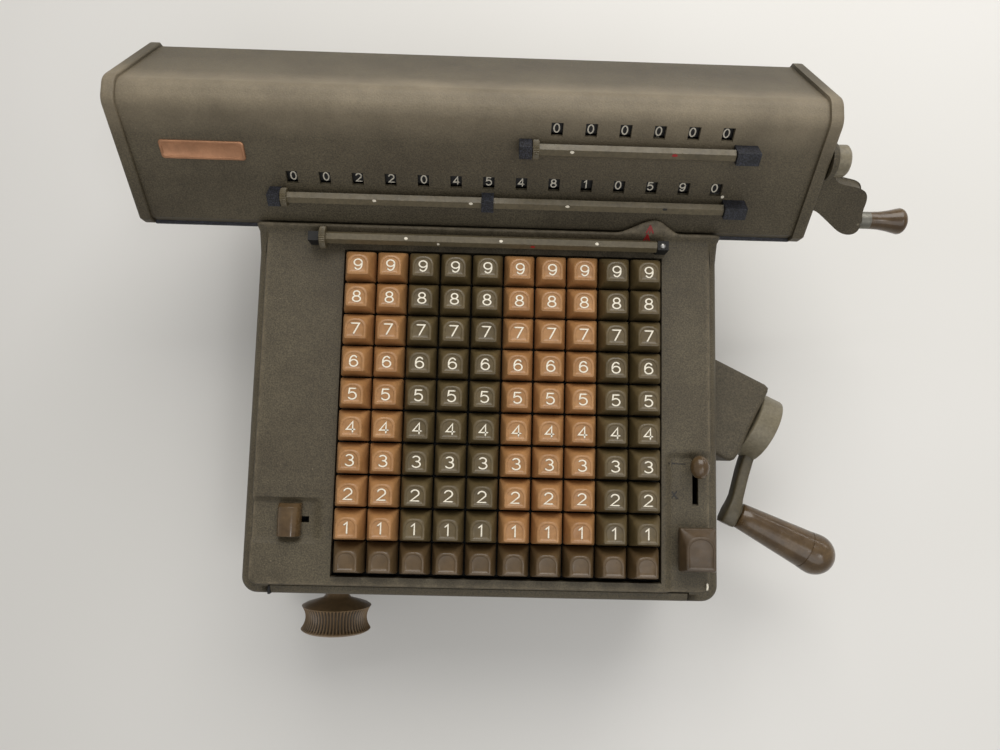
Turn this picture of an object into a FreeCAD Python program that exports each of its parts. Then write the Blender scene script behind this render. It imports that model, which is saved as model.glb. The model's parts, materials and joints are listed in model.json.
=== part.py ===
import FreeCAD, Part
import math
import os

import Sketcher

Vector = FreeCAD.Vector

# Driving sizes in millimetres. X runs right, Y back and Z up from the table.
# The machine is drawn about the middle of its keyboard, then moved to its origin.
SIZES = {
    "origin_shift_x": -11.18,
    "origin_shift_y": -29.5,
    "fit_gap": 0.3,
    "running_gap": 0.05,
    "moving_gap": 1.0,
    "sheet_wall": 2.0,
    "foot_wide": 22.0,
    "foot_tall": 8.0,
    "foot_taper": 0.86,
    "foot_inset": 20.0,
    "pan_plate": 2.0,
    "pan_rim": 12.0,
    "body_left": -125.5,
    "body_right": 110.5,
    "body_front": -98.0,
    "body_back": 187.5,
    "body_corner": 8.0,
    "shoulder_top": 104.5,
    "shoulder_round": 5.0,
    "panel_top": 108.5,
    "panel_corner": 5.0,
    "panel_round": 1.5,
    "deck_top": 96.0,
    "lip_back": 86.5,
    "front_panel_left": -110.8,
    "front_panel_right": 94.8,
    "front_panel_thick": 3.0,
    "seam_gap": 0.5,
    "recess_deep": 1.6,
    "left_recess_front": -71.0,
    "left_recess_back": -51.0,
    "left_recess_right": -86.0,
    "right_recess_left": 83.5,
    "right_recess_back": -24.5,
    "opening_half": 80.75,
    "opening_front": -88.5,
    "opening_back": 74.0,
    "ridge_rise": 3.5,
    "ridge_deep": 5.0,
    "ridge_crest": 1.4,
    "pointer_left": 56.0,
    "pointer_peak": 76.0,
    "pointer_right": 90.0,
    "pointer_long": 6.9,
    "pointer_lean": 31.0,
    "pointer_thick": 1.6,
    "key_pitch": 16.0,
    "key_columns": 10,
    "key_rows": 9,
    "key_base": 15.0,
    "key_skirt": 4.0,
    "key_tall": 13.0,
    "key_top": 119.0,
    "key_face_wide": 10.0,
    "key_face_deep": 10.4,
    "key_face_round": 4.0,
    "key_corner_steps": 3,
    "key_face_forward": 1.1,
    "key_travel": 3.0,
    "key_stem_wide": 4.0,
    "key_stem_thick": 2.0,
    "clear_row_drop": 2.5,
    "key_plate_top": 99.0,
    "key_plate_thick": 2.0,
    "big_key_x": 97.4,
    "big_key_y": -71.5,
    "big_key_wide": 17.8,
    "big_key_deep": 20.8,
    "big_key_tall": 9.0,
    "big_key_face_wide": 12.8,
    "big_key_face_deep": 15.5,
    "function_knob_x": -101.5,
    "function_knob_y": -61.5,
    "function_knob_wide": 11.2,
    "function_knob_deep": 15.8,
    "function_knob_tall": 7.0,
    "function_travel": 6.0,
    "mode_knob_x": 98.1,
    "mode_knob_y": -31.5,
    "mode_knob_wide": 9.0,
    "mode_knob_tall": 12.0,
    "ball_steps": 4,
    "mode_travel": 15.5,
    "lever_stem": 2.4,
    "lever_reach": 12.0,
    "bar_wide": 6.0,
    "bar_journal": 3.0,
    "journal_long": 3.6,
    "bar_disc_wide": 9.0,
    "bar_disc_thick": 3.0,
    "bar_block_wide": 8.0,
    "bar_block_tall": 9.0,
    "keyboard_bar_y": 78.3,
    "keyboard_bar_z": 114.5,
    "keyboard_bar_left": -92.0,
    "keyboard_bar_right": 76.5,
    "keyboard_block": 5.5,
    "keyboard_block_deep": 6.0,
    "carriage_left": -185.5,
    "carriage_right": 154.5,
    "carriage_low": 103.0,
    "carriage_front": 88.3,
    "carriage_front_top": 108.0,
    "carriage_back": 177.0,
    "carriage_slope": 49.1,
    "carriage_ridge_y": 128.0,
    "carriage_ridge_deep": 10.0,
    "carriage_back_slope": 46.6,
    "carriage_round": 8.0,
    "carriage_floor": 104.0,
    "carriage_floor_thick": 3.0,
    "floor_margin": 8.0,
    "floor_opening": 34.8,
    "shoe_long": 24.0,
    "shoe_wall": 3.0,
    "shoe_left": 40.0,
    "shoe_right": 60.0,
    "end_plate_thick": 6.5,
    "end_plate_proud": 1.8,
    "end_plate_round": 2.2,
    "frame_plate": 3.5,
    "rail_wide": 8.0,
    "rail_tall": 5.0,
    "rail_front_y": 139.0,
    "rail_back_y": 157.0,
    "carriage_home_travel": 32.0,
    "carriage_far_travel": 48.0,
    "dial_radius": 9.0,
    "dial_wide": 11.0,
    "dial_depth": 11.8,
    "dial_axle": 2.0,
    "result_dials": 14,
    "result_first_x": -104.6,
    "counter_dials": 6,
    "counter_first_x": 22.6,
    "counter_up": 28.6,
    "counter_active": 4,
    "window_wide": 5.6,
    "window_tall": 6.6,
    "result_window_y": 104.3,
    "result_window_z": 126.1,
    "result_bar_down": 8.3,
    "result_bar_left": -110.0,
    "result_bar_right": 107.3,
    "result_bar_middle": -9.0,
    "counter_bar_up": 20.6,
    "counter_bar_left": 11.5,
    "counter_bar_right": 106.5,
    "bar_stand_off": 4.6,
    "end_block": 11.0,
    "disc_block": 6.0,
    "crank_angle": -26.0,
    "crank_axis_z": 62.0,
    "crank_face_x": 143.25,
    "crank_face_y": -8.1,
    "housing_wide": 48.0,
    "housing_round": 6.0,
    "housing_long": 72.0,
    "crank_shaft_wide": 12.0,
    "crank_hub_wide": 37.0,
    "crank_hub_thick": 9.5,
    "hub_bevel": 1.0,
    "crank_radius": 48.5,
    "crank_joggle": 6.6,
    "crank_joggle_long": 12.0,
    "crank_joggle_offset": 3.0,
    "crank_arm_thick": 8.2,
    "crank_arm_wide": 15.0,
    "crank_pin_wide": 7.0,
    "grip_root_wide": 14.4,
    "grip_end_wide": 22.4,
    "grip_long": 45.0,
    "grip_dome": 11.0,
    "grip_bore_share": 0.9,
    "dome_steps": 3,
    "gear_module": 1.75,
    "drive_teeth": 20,
    "idler_teeth": 40,
    "gear_thick": 5.0,
    "stud_end": 6.0,
    "gear_backlash": 0.25,
    "wheel_gap": 1.5,
    "bevel_teeth": 16,
    "bevel_radius": 11.0,
    "bevel_face": 3.5,
    "bevel_back": 4.0,
    "bevel_web": 1.2,
    "bevel_rise": 0.8,
    "bevel_sink": 2.0,
    "bevel_x": 96.0,
    "drive_shaft_wide": 10.0,
    "main_shaft_y": 112.0,
    "main_shaft_z": 84.0,
    "main_shaft_wide": 10.0,
    "rotor_radius": 22.0,
    "rotor_pin_reach": 1.2,
    "rotor_thick": 7.0,
    "rotor_pin_wide": 1.6,
    "rotor_pins": 9,
    "rotor_sides": 24,
    "side_frame_left": -98.0,
    "side_frame_right": 84.0,
    "shift_x": -88.6,
    "shift_z": 44.0,
    "shift_shaft_wide": 8.0,
    "shift_gear_y": 168.0,
    "shift_module": 2.0,
    "shift_gear_teeth": 22,
    "shift_idler_teeth": 18,
    "bridge_y": 161.0,
    "frame_top": 97.0,
    "shift_gear_thick": 6.0,
    "knob_wide": 38.6,
    "knob_waist": 34.6,
    "knob_neck": 15.4,
    "knob_back": -114.3,
    "knob_front": -127.0,
    "knob_nose": 1.5,
    "knob_cone": 3.8,
    "knob_steps": 4,
    "clear_axis_y": 118.5,
    "clear_axis_z": 133.0,
    "clear_hub_wide": 16.0,
    "clear_hub_thick": 10.0,
    "clear_arm_long": 32.7,
    "clear_arm_angle": 50.0,
    "clear_arm_joggle": 18.5,
    "clear_arm_thick": 8.5,
    "clear_collar": 4.0,
    "clear_arm_wide": 13.0,
    "clear_shaft_wide": 6.0,
    "clear_grip_long": 25.5,
    "clear_grip_root": 8.6,
    "clear_grip_end": 13.4,
    "clear_pin_wide": 4.0,
    "clear_bore_share": 0.8,
    "clear_grip_dome": 0.6,
    "clear_grip_swell": 0.45,
}

# How far a cutting shape reaches past what it cuts, and how near two places count as one.
OVER = 1.0
NEAR = 0.01
PRESSURE_ANGLE = 20
TOOTH_FOOT = 1.25

document = FreeCAD.newDocument("Calculator")
sheet = document.addObject("Spreadsheet::Sheet", "Sizes")
for row, (alias, amount) in enumerate(SIZES.items(), start=1):
    sheet.set(f"A{row}", alias)
    sheet.set(f"B{row}", str(amount))
    sheet.setAlias(f"B{row}", alias)
document.recompute()


class Size:
    """A length that knows its number and the sheet expression behind it."""

    def __init__(self, number, text):
        self.number = number
        self.text = text

    def join(self, other, sign, number):
        return Size(number, f"({self.text} {sign} {as_size(other).text})")

    def __add__(self, other):
        return self.join(other, "+", self.number + as_size(other).number)

    def __sub__(self, other):
        return self.join(other, "-", self.number - as_size(other).number)

    def __mul__(self, other):
        return self.join(other, "*", self.number * as_size(other).number)

    def __truediv__(self, other):
        return self.join(other, "/", self.number / as_size(other).number)

    def __neg__(self):
        return Size(-self.number, f"(0 - {self.text})")

    def __radd__(self, other):
        return as_size(other) + self

    def __rsub__(self, other):
        return as_size(other) - self

    def __rmul__(self, other):
        return as_size(other) * self

    def __rtruediv__(self, other):
        return as_size(other) / self

    def __float__(self):
        return float(self.number)


def as_size(value):
    """Give any plain number the form of a Size."""
    return value if isinstance(value, Size) else Size(float(value), repr(float(value)))


def size(alias):
    """Look a driving size up in the sheet."""
    return Size(float(sheet.get(alias)), f"Sizes.{alias}")


def cosine(angle):
    return Size(math.cos(math.radians(angle.number)), f"cos({angle.text} * 1deg)")


def sine(angle):
    return Size(math.sin(math.radians(angle.number)), f"sin({angle.text} * 1deg)")


PIECES = []


def bind(thing, field, value):
    """Set a property to a Size and keep it tied to the sheet."""
    thing.setExpression(field, as_size(value).text)


def place(thing, at=(0, 0, 0), turn=None):
    """Put a piece at a point of the machine, with its place tied to the sheet."""
    thing.Placement = FreeCAD.Placement(Vector(*[float(value) for value in at]), turn or FreeCAD.Rotation())
    shifted = (size("origin_shift_x") + at[0], size("origin_shift_y") + at[1], as_size(at[2]))
    for axis, value in zip("xyz", shifted):
        bind(thing, f".Placement.Base.{axis}", value)


def keep(thing, name):
    """Label a finished piece and list it for export."""
    thing.Label = name
    PIECES.append(thing)
    return thing


def new_body(name):
    body = document.addObject("PartDesign::Body", name)
    body.AllowCompound = True
    return body


def origin_plane(body, role):
    return next(item for item in body.Origin.OriginFeatures if item.Role == role)


def new_sketch(body, plane, offset=0):
    """Start a sketch on one of the body's own origin planes."""
    sketch = body.newObject("Sketcher::SketchObject", "Sketch")
    sketch.AttachmentSupport = [(origin_plane(body, plane), "")]
    sketch.MapMode = "FlatFace"
    shift = as_size(offset)
    sketch.AttachmentOffset = FreeCAD.Placement(Vector(0, 0, shift.number), FreeCAD.Rotation())
    bind(sketch, ".AttachmentOffset.Base.z", shift)
    return sketch


def pin_point(sketch, geometry, which, point):
    """Fix one sketch point at a place given by two Sizes."""
    for kind, value in (("DistanceX", as_size(point[0])), ("DistanceY", as_size(point[1]))):
        rule = Sketcher.Constraint(kind, -1, 1, geometry, which, value.number)
        index = sketch.addConstraint(rule)
        sketch.setExpression(f"Constraints[{index}]", value.text)


def loop(sketch, points, arcs=None):
    """Draw a closed outline. arcs gives the bulge of each edge that is round, to its right if positive."""
    arcs = arcs or {}
    corners = [Vector(float(point[0]), float(point[1]), 0) for point in points]
    count = len(corners)
    first = sketch.GeometryCount
    for index, start in enumerate(corners):
        end = corners[(index + 1) % count]
        if index in arcs:
            arc = arc_between(start, end, float(arcs[index]))
            sketch.addGeometry(arc, False)
            radius = arc_radius(points[index], points[(index + 1) % count], arcs[index])
            rule = sketch.addConstraint(Sketcher.Constraint("Radius", first + index, arc.Radius))
            sketch.setExpression(f"Constraints[{rule}]", radius.text)
        else:
            sketch.addGeometry(Part.LineSegment(start, end), False)
    for index, point in enumerate(points):
        before = (index - 1) % count
        leaving = 2 if float(arcs.get(index, 1)) < 0 else 1
        arriving = 1 if float(arcs.get(before, 1)) < 0 else 2
        rule = Sketcher.Constraint("Coincident", first + before, arriving, first + index, leaving)
        sketch.addConstraint(rule)
        pin_point(sketch, first + index, leaving, point)


def arc_radius(start, end, bulge):
    """The radius of the arc that joins two points with a given bulge."""
    across = as_size(end[0]) - start[0]
    along = as_size(end[1]) - start[1]
    rise = as_size(bulge) if float(bulge) > 0 else -as_size(bulge)
    return ((across * across + along * along) / 4 + rise * rise) / (rise * 2)


def arc_between(start, end, bulge):
    """Sketch arcs run anticlockwise, so one that bulges to the left is drawn from its far end."""
    along = (end - start).normalize()
    right = Vector(along.y, -along.x, 0)
    half = (end - start).Length / 2
    radius = (half * half + bulge * bulge) / (2 * abs(bulge))
    centre = (start + end) / 2 + right * (bulge - math.copysign(radius, bulge))
    ends = (start, end) if bulge > 0 else (end, start)
    angles = [math.atan2(point.y - centre.y, point.x - centre.x) for point in ends]
    if angles[1] < angles[0]:
        angles[1] += 2 * math.pi
    return Part.ArcOfCircle(Part.Circle(centre, Vector(0, 0, 1), radius), *angles)


def turns(first, last, steps):
    """Angles in degrees from first to last, both included."""
    return [first + (last - first) * step / steps for step in range(steps + 1)]


def side_of(start, end):
    """The unit direction to the right of the way from start to end."""
    along = (end - start).normalize()
    return Vector(along.y, -along.x, 0)


def box_loop(sketch, left, right, low, high):
    loop(sketch, [(left, low), (right, low), (right, high), (left, high)])


def soft_box_loop(sketch, left, right, low, high, radius):
    """A rectangle with quarter rounds at its four corners."""
    radius = as_size(radius)
    points = [
        (left + radius, low),
        (right - radius, low),
        (right, low + radius),
        (right, high - radius),
        (right - radius, high),
        (left + radius, high),
        (left, high - radius),
        (left, low + radius),
    ]
    bulge = radius * (1 - cosine(as_size(45)))
    loop(sketch, points, {1: bulge, 3: bulge, 5: bulge, 7: bulge})


def circle(sketch, centre, radius):
    radius = as_size(radius)
    spot = Vector(float(centre[0]), float(centre[1]), 0)
    index = sketch.addGeometry(Part.Circle(spot, Vector(0, 0, 1), radius.number), False)
    rule = sketch.addConstraint(Sketcher.Constraint("Radius", index, radius.number))
    sketch.setExpression(f"Constraints[{rule}]", radius.text)
    pin_point(sketch, index, 3, centre)


def pad(body, sketch, length, reverse=False):
    feature = body.newObject("PartDesign::Pad", "Pad")
    feature.Profile = sketch
    feature.Reversed = reverse
    bind(feature, "Length", length)
    document.recompute()
    return feature


def pocket(body, sketch, depth=None, reverse=False):
    """Cut a sketch into the body, all the way through where no depth is given."""
    before = body.Tip.Shape.Volume
    feature = body.newObject("PartDesign::Pocket", "Pocket")
    feature.Profile = sketch
    feature.Reversed = reverse
    if depth is None:
        feature.Type = "ThroughAll"
    else:
        bind(feature, "Length", depth)
    document.recompute()
    if feature.Shape.Volume >= before:
        raise RuntimeError(f"{body.Name}: {feature.Name} cuts nothing")
    return feature


def revolve(body, sketch, axis):
    feature = body.newObject("PartDesign::Revolution", "Revolution")
    feature.Profile = sketch
    feature.ReferenceAxis = (sketch, [axis])
    feature.Angle = 360.0
    document.recompute()
    return feature


def fillet(body, base, radius, test):
    """Round the edges of base whose shape passes the test."""
    names = [f"Edge{n}" for n, edge in enumerate(base.Shape.Edges, start=1) if test(edge)]
    if not names:
        raise RuntimeError(f"{body.Name}: no edge to round")
    feature = body.newObject("PartDesign::Fillet", "Fillet")
    feature.Base = (base, names)
    bind(feature, "Radius", radius)
    document.recompute()
    return feature


def upright(edge):
    box = edge.BoundBox
    return box.XLength < NEAR and box.YLength < NEAR


def level_at(edge, height):
    box = edge.BoundBox
    return abs(box.ZMin - float(height)) < NEAR and abs(box.ZMax - float(height)) < NEAR


def solid(name, shape):
    """A piece whose shape is worked out here from the sheet's sizes."""
    thing = document.addObject("Part::Feature", name)
    thing.Shape = shape
    place(thing, tuple(shape.Placement.Base), shape.Placement.Rotation)
    return keep(thing, name)


def rod(start, end, wide, bore=0.0):
    """A round bar between two points, with an optional bore along it."""
    way = end - start
    shape = Part.makeCylinder(wide / 2, way.Length, start, way)
    if bore:
        shape = shape.cut(Part.makeCylinder(bore / 2, way.Length, start, way))
    return shape


def block(left, right, front, back, low, high):
    return Part.makeBox(right - left, back - front, high - low, Vector(left, front, low))


def number(alias):
    return float(size(alias))


# Casing: base pan, top cover, front panel and feet.
def make_base_pan():
    body = new_body("base_pan")
    gap = size("sheet_wall") + size("fit_gap")
    left, right = size("body_left") + gap, size("body_right") - gap
    front, back = size("body_front") + size("front_panel_thick") + gap, size("body_back") - gap
    outside = new_sketch(body, "XY_Plane", size("foot_tall"))
    box_loop(outside, left, right, front, back)
    slab = pad(body, outside, size("pan_rim"))
    fillet(body, slab, size("body_corner") - gap, upright)
    plate = size("pan_plate")
    inside = new_sketch(body, "XY_Plane", size("foot_tall") + plate)
    bend = size("body_corner") - gap - plate
    soft_box_loop(inside, left + plate, right - plate, front + plate, back - plate, bend)
    pocket(body, inside, size("pan_rim"), reverse=True)
    place(body)
    keep(body, "base_pan")


def make_feet():
    radius = number("foot_wide") / 2
    inset = number("foot_inset")
    xs = (number("body_left") + inset, number("body_right") - inset)
    ys = (number("body_front") + inset, number("body_back") - inset)
    feet = [
        Part.makeCone(radius * number("foot_taper"), radius, number("foot_tall"), Vector(x, y, 0)) for x in xs for y in ys
    ]
    solid("feet", Part.makeCompound(feet))


def make_top_cover():
    body = new_body("top_cover")
    left, right = size("body_left"), size("body_right")
    front, back = size("body_front"), size("body_back")
    low, wall = size("foot_tall") + size("pan_plate"), size("sheet_wall")
    shoulder, panel, deck = size("shoulder_top"), size("panel_top"), size("deck_top")
    lip, inset = size("lip_back"), size("shoulder_round")
    side = new_sketch(body, "YZ_Plane", left)
    loop(side, [(front, low), (back, low), (back, deck), (lip, deck), (lip, shoulder), (front, shoulder)])
    form = pad(body, side, right - left)
    form = fillet(body, form, size("body_corner"), corner_edge)
    form = fillet(body, form, inset, shoulder_edge)
    island = new_sketch(body, "XY_Plane", shoulder - inset)
    box_loop(island, left + inset, right - inset, front + inset, lip)
    form = pad(body, island, panel - shoulder + inset)
    form = fillet(body, form, size("panel_corner"), island_corner)
    form = fillet(body, form, size("panel_round"), island_edge)
    add_ridge(body)
    under_shoulder = new_sketch(body, "XY_Plane", low)
    bend = size("body_corner") - wall
    soft_box_loop(under_shoulder, left + wall, right - wall, front + wall, back - wall, bend)
    pocket(body, under_shoulder, deck - wall - low, reverse=True)
    under_panel = new_sketch(body, "XY_Plane", low)
    thick = wall + size("recess_deep")
    box_loop(under_panel, left + inset + wall, right - inset - wall, front + inset + wall, lip - wall)
    pocket(body, under_panel, panel - thick - low, reverse=True)
    cut_front_opening(body)
    cut_panel(body)
    cut_deck(body)
    add_pointer(body)
    place(body)
    keep(body, "top_cover")


def corner_edge(edge):
    return upright(edge) and edge.BoundBox.ZMin < number("deck_top") and at_corner(edge)


def at_corner(edge):
    centre_y = edge.BoundBox.Center.y
    ends = (number("body_front"), number("body_back"))
    return min(abs(centre_y - end) for end in ends) < NEAR


def shoulder_edge(edge):
    box = edge.BoundBox
    around = box.YMax <= number("lip_back") + NEAR and box.YLength + box.XLength > 1
    along_lip = abs(box.YMin - number("lip_back")) < NEAR
    on_front = level_at(edge, size("shoulder_top")) and around and not along_lip
    behind_lip = box.YMax > number("lip_back") + 1
    return on_front or (level_at(edge, size("deck_top")) and behind_lip)


def island_corner(edge):
    box = edge.BoundBox
    near_front = abs(box.YMin - number("body_front") - number("shoulder_round")) < NEAR
    return upright(edge) and near_front and box.ZMax > number("shoulder_top")


def island_edge(edge):
    return level_at(edge, size("panel_top"))


def cut_front_opening(body):
    """The front panel is a piece of its own, so the cover is open there."""
    gap, inset = size("seam_gap"), size("shoulder_round")
    front = size("body_front")
    opening = new_sketch(body, "XY_Plane", size("shoulder_top") + NEAR)
    left, right = size("front_panel_left") - gap, size("front_panel_right") + gap
    box_loop(opening, left, right, front - OVER, front + inset - NEAR)
    pocket(body, opening)


def cut_panel(body):
    """Key opening, finger recesses and the slots of the two levers and the wide key."""
    panel, deep = size("panel_top"), size("recess_deep")
    lift = panel + size("ridge_rise") + OVER
    half = size("opening_half")
    opening = new_sketch(body, "XY_Plane", lift)
    box_loop(opening, -half, half, size("opening_front"), size("opening_back"))
    pocket(body, opening)
    left = new_sketch(body, "XY_Plane", panel)
    low, high = size("left_recess_front"), size("left_recess_back")
    box_loop(left, size("body_left"), size("left_recess_right"), low, high)
    pocket(body, left, deep)
    right = new_sketch(body, "XY_Plane", panel)
    front, back = size("body_front"), size("right_recess_back")
    box_loop(right, size("right_recess_left"), size("body_right"), front, back)
    pocket(body, right, deep)
    slots = new_sketch(body, "XY_Plane", lift)
    stem, gap = size("lever_stem") / 2 + size("fit_gap"), size("fit_gap")
    x, y = size("function_knob_x"), size("function_knob_y")
    box_loop(slots, x - stem * 2, x + stem * 2 + size("function_travel"), y - stem, y + stem)
    x, y = size("mode_knob_x"), size("mode_knob_y")
    box_loop(slots, x - stem, x + stem, y - stem * 2 - size("mode_travel"), y + stem * 2)
    x, y = size("big_key_x"), size("big_key_y")
    wide, thick = size("key_stem_wide") / 2 + gap, size("key_stem_thick") / 2 + gap
    box_loop(slots, x - wide, x + wide, y - thick, y + thick)
    pocket(body, slots)


def cut_deck(body):
    """Under the carriage the deck is open over the wheels and the shift gear."""
    above = size("deck_top") + OVER
    reach = size("rotor_radius") + size("rotor_pin_reach")
    y, gap = size("main_shaft_y"), size("fit_gap")
    opening = new_sketch(body, "XY_Plane", above)
    right = size("side_frame_right") - gap
    clear = size("moving_gap")
    box_loop(opening, -half_drum() - clear * 4, right, y - reach, y + reach)
    x, wheel = size("shift_x"), shift_radius("shift_idler_teeth") + size("shift_module") + clear
    gear_y, thick = size("shift_gear_y"), size("shift_gear_thick")
    box_loop(opening, x - wheel, x + wheel, gear_y - clear, gear_y + thick + clear)
    pocket(body, opening, size("sheet_wall") + OVER * 1.5)
    hole = new_sketch(body, "YZ_Plane", size("body_right") + OVER)
    circle(hole, (wall_point()[1], size("crank_axis_z")), size("crank_shaft_wide") / 2 + clear * 3)
    pocket(body, hole, size("sheet_wall") + OVER * 2)


def half_drum():
    return size("key_pitch") * (size("key_columns") / 2 - 0.5) + size("rotor_thick") / 2


def shift_radius(teeth):
    return size("shift_module") * size(teeth) / 2


def wall_point():
    """Where the crank's slanted axis meets the right side of the body."""
    slope = sine(size("crank_angle")) / cosine(size("crank_angle"))
    right = size("body_right")
    return right, size("crank_face_y") + (right - size("crank_face_x")) * slope


def add_ridge(body):
    """A rolled ridge along the back of the panel, over the whole width of the body."""
    lip, panel = size("lip_back"), size("panel_top")
    deep, crest, rise = size("ridge_deep"), size("ridge_crest"), size("ridge_rise")
    side = new_sketch(body, "YZ_Plane", size("body_left"))
    low = size("shoulder_top") - size("shoulder_round")
    points = [
        (lip - deep, low),
        (lip, low),
        (lip, panel + rise - crest),
        (lip - crest, panel + rise),
        (lip - crest * 2, panel + rise - crest / 3),
        (lip - deep, panel),
    ]
    loop(side, points)
    pad(body, side, size("body_right") - size("body_left"))


# The outline of the pointer on each side, as shares of its half width and of its height.
POINTER_OUTLINE = ((1.0, 0.0), (0.7, 0.12), (0.42, 0.5), (0.2, 0.88), (0.0, 1.0))


def add_pointer(body):
    """A leaning tongue with a hipped outline on the ridge points at the carriage."""
    left, peak, right = size("pointer_left"), size("pointer_peak"), size("pointer_right")
    long, lean, thick = size("pointer_long"), size("pointer_lean"), size("pointer_thick")
    tongue = new_sketch(body, "XY_Plane")
    spot = (size("lip_back") - size("ridge_crest"), size("panel_top") + size("ridge_rise"))
    turn = FreeCAD.Rotation(Vector(1, 0, 0), lean.number)
    tongue.AttachmentOffset = FreeCAD.Placement(Vector(0, spot[0].number, spot[1].number), turn)
    bind(tongue, ".AttachmentOffset.Base.y", spot[0])
    bind(tongue, ".AttachmentOffset.Base.z", spot[1])
    rising = [(peak + (left - peak) * across, long * up) for across, up in POINTER_OUTLINE]
    falling = [(peak + (right - peak) * across, long * up) for across, up in POINTER_OUTLINE[:-1]]
    loop(tongue, [(left, -thick), (right, -thick)] + falling + rising[::-1])
    pad(body, tongue, thick, reverse=True)


def make_front_panel():
    body = new_body("front_panel")
    front, thick = size("body_front"), size("front_panel_thick")
    top, bend = size("shoulder_top"), size("shoulder_round") - size("seam_gap")
    low = size("foot_tall") + size("pan_plate")
    left, right = size("front_panel_left"), size("front_panel_right")
    side = new_sketch(body, "YZ_Plane", left)
    points = [
        (front, low),
        (front + thick, low),
        (front + thick, top - thick),
        (front + bend, top - thick),
        (front + bend, top),
        (front, top - bend),
    ]
    loop(side, points, {4: bend * (1 - cosine(as_size(45)))})
    pad(body, side, right - left)
    hole = new_sketch(body, "XZ_Plane", -front + OVER)
    circle(hole, (size("shift_x"), size("shift_z")), size("shift_shaft_wide") / 2 + size("running_gap"))
    pocket(body, hole, thick + OVER * 2)
    place(body)
    keep(body, "front_panel")


# Inner structure: side frames, bridge, key plate and carriage rails.
def make_side_frame(name, x, holes, stud=None):
    """An upright plate that carries the key plate, the shafts and the deck."""
    body = new_body(name)
    low = size("foot_tall") + size("pan_plate")
    top, under_deck = size("frame_top"), size("deck_top") - size("sheet_wall") - size("fit_gap")
    front, back = size("opening_front"), size("bridge_y") + size("frame_plate")
    step = size("opening_back") + size("sheet_wall")
    side = new_sketch(body, "YZ_Plane", x)
    corners = [(front, low), (back, low), (back, under_deck), (step, under_deck), (step, top), (front, top)]
    loop(side, corners)
    pad(body, side, size("frame_plate"))
    cuts = new_sketch(body, "YZ_Plane", x + size("frame_plate") + OVER)
    for centre, radius in holes:
        circle(cuts, centre, radius)
    pocket(body, cuts)
    if stud:
        pin = new_sketch(body, "YZ_Plane", x + OVER)
        circle(pin, stud[0], stud[1])
        pad(body, pin, stud[2], reverse=True)
    place(body)
    keep(body, name)


def make_side_frames():
    gap = size("running_gap")
    main = ((size("main_shaft_y"), size("main_shaft_z")), size("main_shaft_wide") / 2 + gap)
    drive = ((bevel_point()[1], size("crank_axis_z")), size("drive_shaft_wide") / 2 + gap)
    make_side_frame("frame_left", size("side_frame_left"), [main])
    stud = (idler_centre(), size("main_shaft_wide") / 2 - gap, size("gear_thick") + size("stud_end"))
    make_side_frame("frame_right", size("side_frame_right"), [main, drive], stud)


def bevel_point():
    """Where the crank's axis meets the drive shaft's axis."""
    slope = sine(size("crank_angle")) / cosine(size("crank_angle"))
    return size("bevel_x"), size("crank_face_y") + (size("bevel_x") - size("crank_face_x")) * slope


def idler_centre():
    """The idler lies one centre distance from both shafts, on the lower side."""
    start = Vector(bevel_point()[1].number, number("crank_axis_z"), 0)
    end = Vector(number("main_shaft_y"), number("main_shaft_z"), 0)
    span = number("gear_module") * (number("drive_teeth") + number("idler_teeth")) / 2
    half = (end - start).Length / 2
    across = side_of(start, end) * math.sqrt(span * span - half * half)
    centre = (start + end) / 2 + across
    return centre.x, centre.y


def make_rear_bridge():
    body = new_body("rear_bridge")
    low, top = size("foot_tall") + size("pan_plate"), size("deck_top") - size("sheet_wall") - size("fit_gap")
    left, right = size("side_frame_left") + size("frame_plate"), size("side_frame_right")
    y, thick = size("bridge_y"), size("frame_plate")
    plate = new_sketch(body, "XZ_Plane", -y)
    box_loop(plate, left, right, low, top)
    pad(body, plate, thick, reverse=True)
    x, z = size("shift_x"), size("shift_z")
    hole = new_sketch(body, "XZ_Plane", -y + OVER)
    circle(hole, (x, z), size("shift_shaft_wide") / 2 + size("running_gap"))
    pocket(body, hole)
    pin = new_sketch(body, "XZ_Plane", -y - OVER)
    circle(pin, (x, shift_idler_z()), size("shift_shaft_wide") / 2 - size("running_gap"))
    reach = size("shift_gear_y") + size("shift_gear_thick") - y + OVER
    pad(body, pin, reach, reverse=True)
    place(body)
    keep(body, "rear_bridge")


def shift_idler_z():
    return size("shift_z") + shift_radius("shift_gear_teeth") + shift_radius("shift_idler_teeth")


def key_places():
    """Column and row centres of the keyboard, from left to right and front to back."""
    pitch = number("key_pitch")
    columns = int(number("key_columns"))
    rows = int(number("key_rows"))
    xs = [(column - (columns - 1) / 2) * pitch for column in range(columns)]
    ys = [(row - (rows + 1) / 2) * pitch for row in range(rows + 1)]
    return xs, ys


def make_key_plate():
    top, thick, gap = number("key_plate_top"), number("key_plate_thick"), number("fit_gap")
    left, right = number("side_frame_left"), number("side_frame_right") + number("frame_plate")
    front, back = number("opening_front"), number("opening_back") + number("sheet_wall")
    plate = block(left, right, front, back, top - thick, top)
    wide, deep = number("key_stem_wide") / 2 + gap, number("key_stem_thick") / 2 + gap
    xs, ys = key_places()
    low, high = top - thick - OVER, top + OVER
    slots = [block(x - wide, x + wide, y - deep, y + deep, low, high) for x in xs for y in ys]
    solid("key_plate", plate.cut(Part.makeCompound(slots)))


def make_rails():
    body = new_body("carriage_rails")
    low, half = size("deck_top"), size("rail_wide") / 2
    inset = size("body_corner")
    foot = new_sketch(body, "XY_Plane", low)
    for y in (size("rail_front_y"), size("rail_back_y")):
        box_loop(foot, size("body_left") + inset, size("body_right") - inset, y - half, y + half)
    pad(body, foot, size("rail_tall"))
    place(body)
    keep(body, "carriage_rails")


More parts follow.
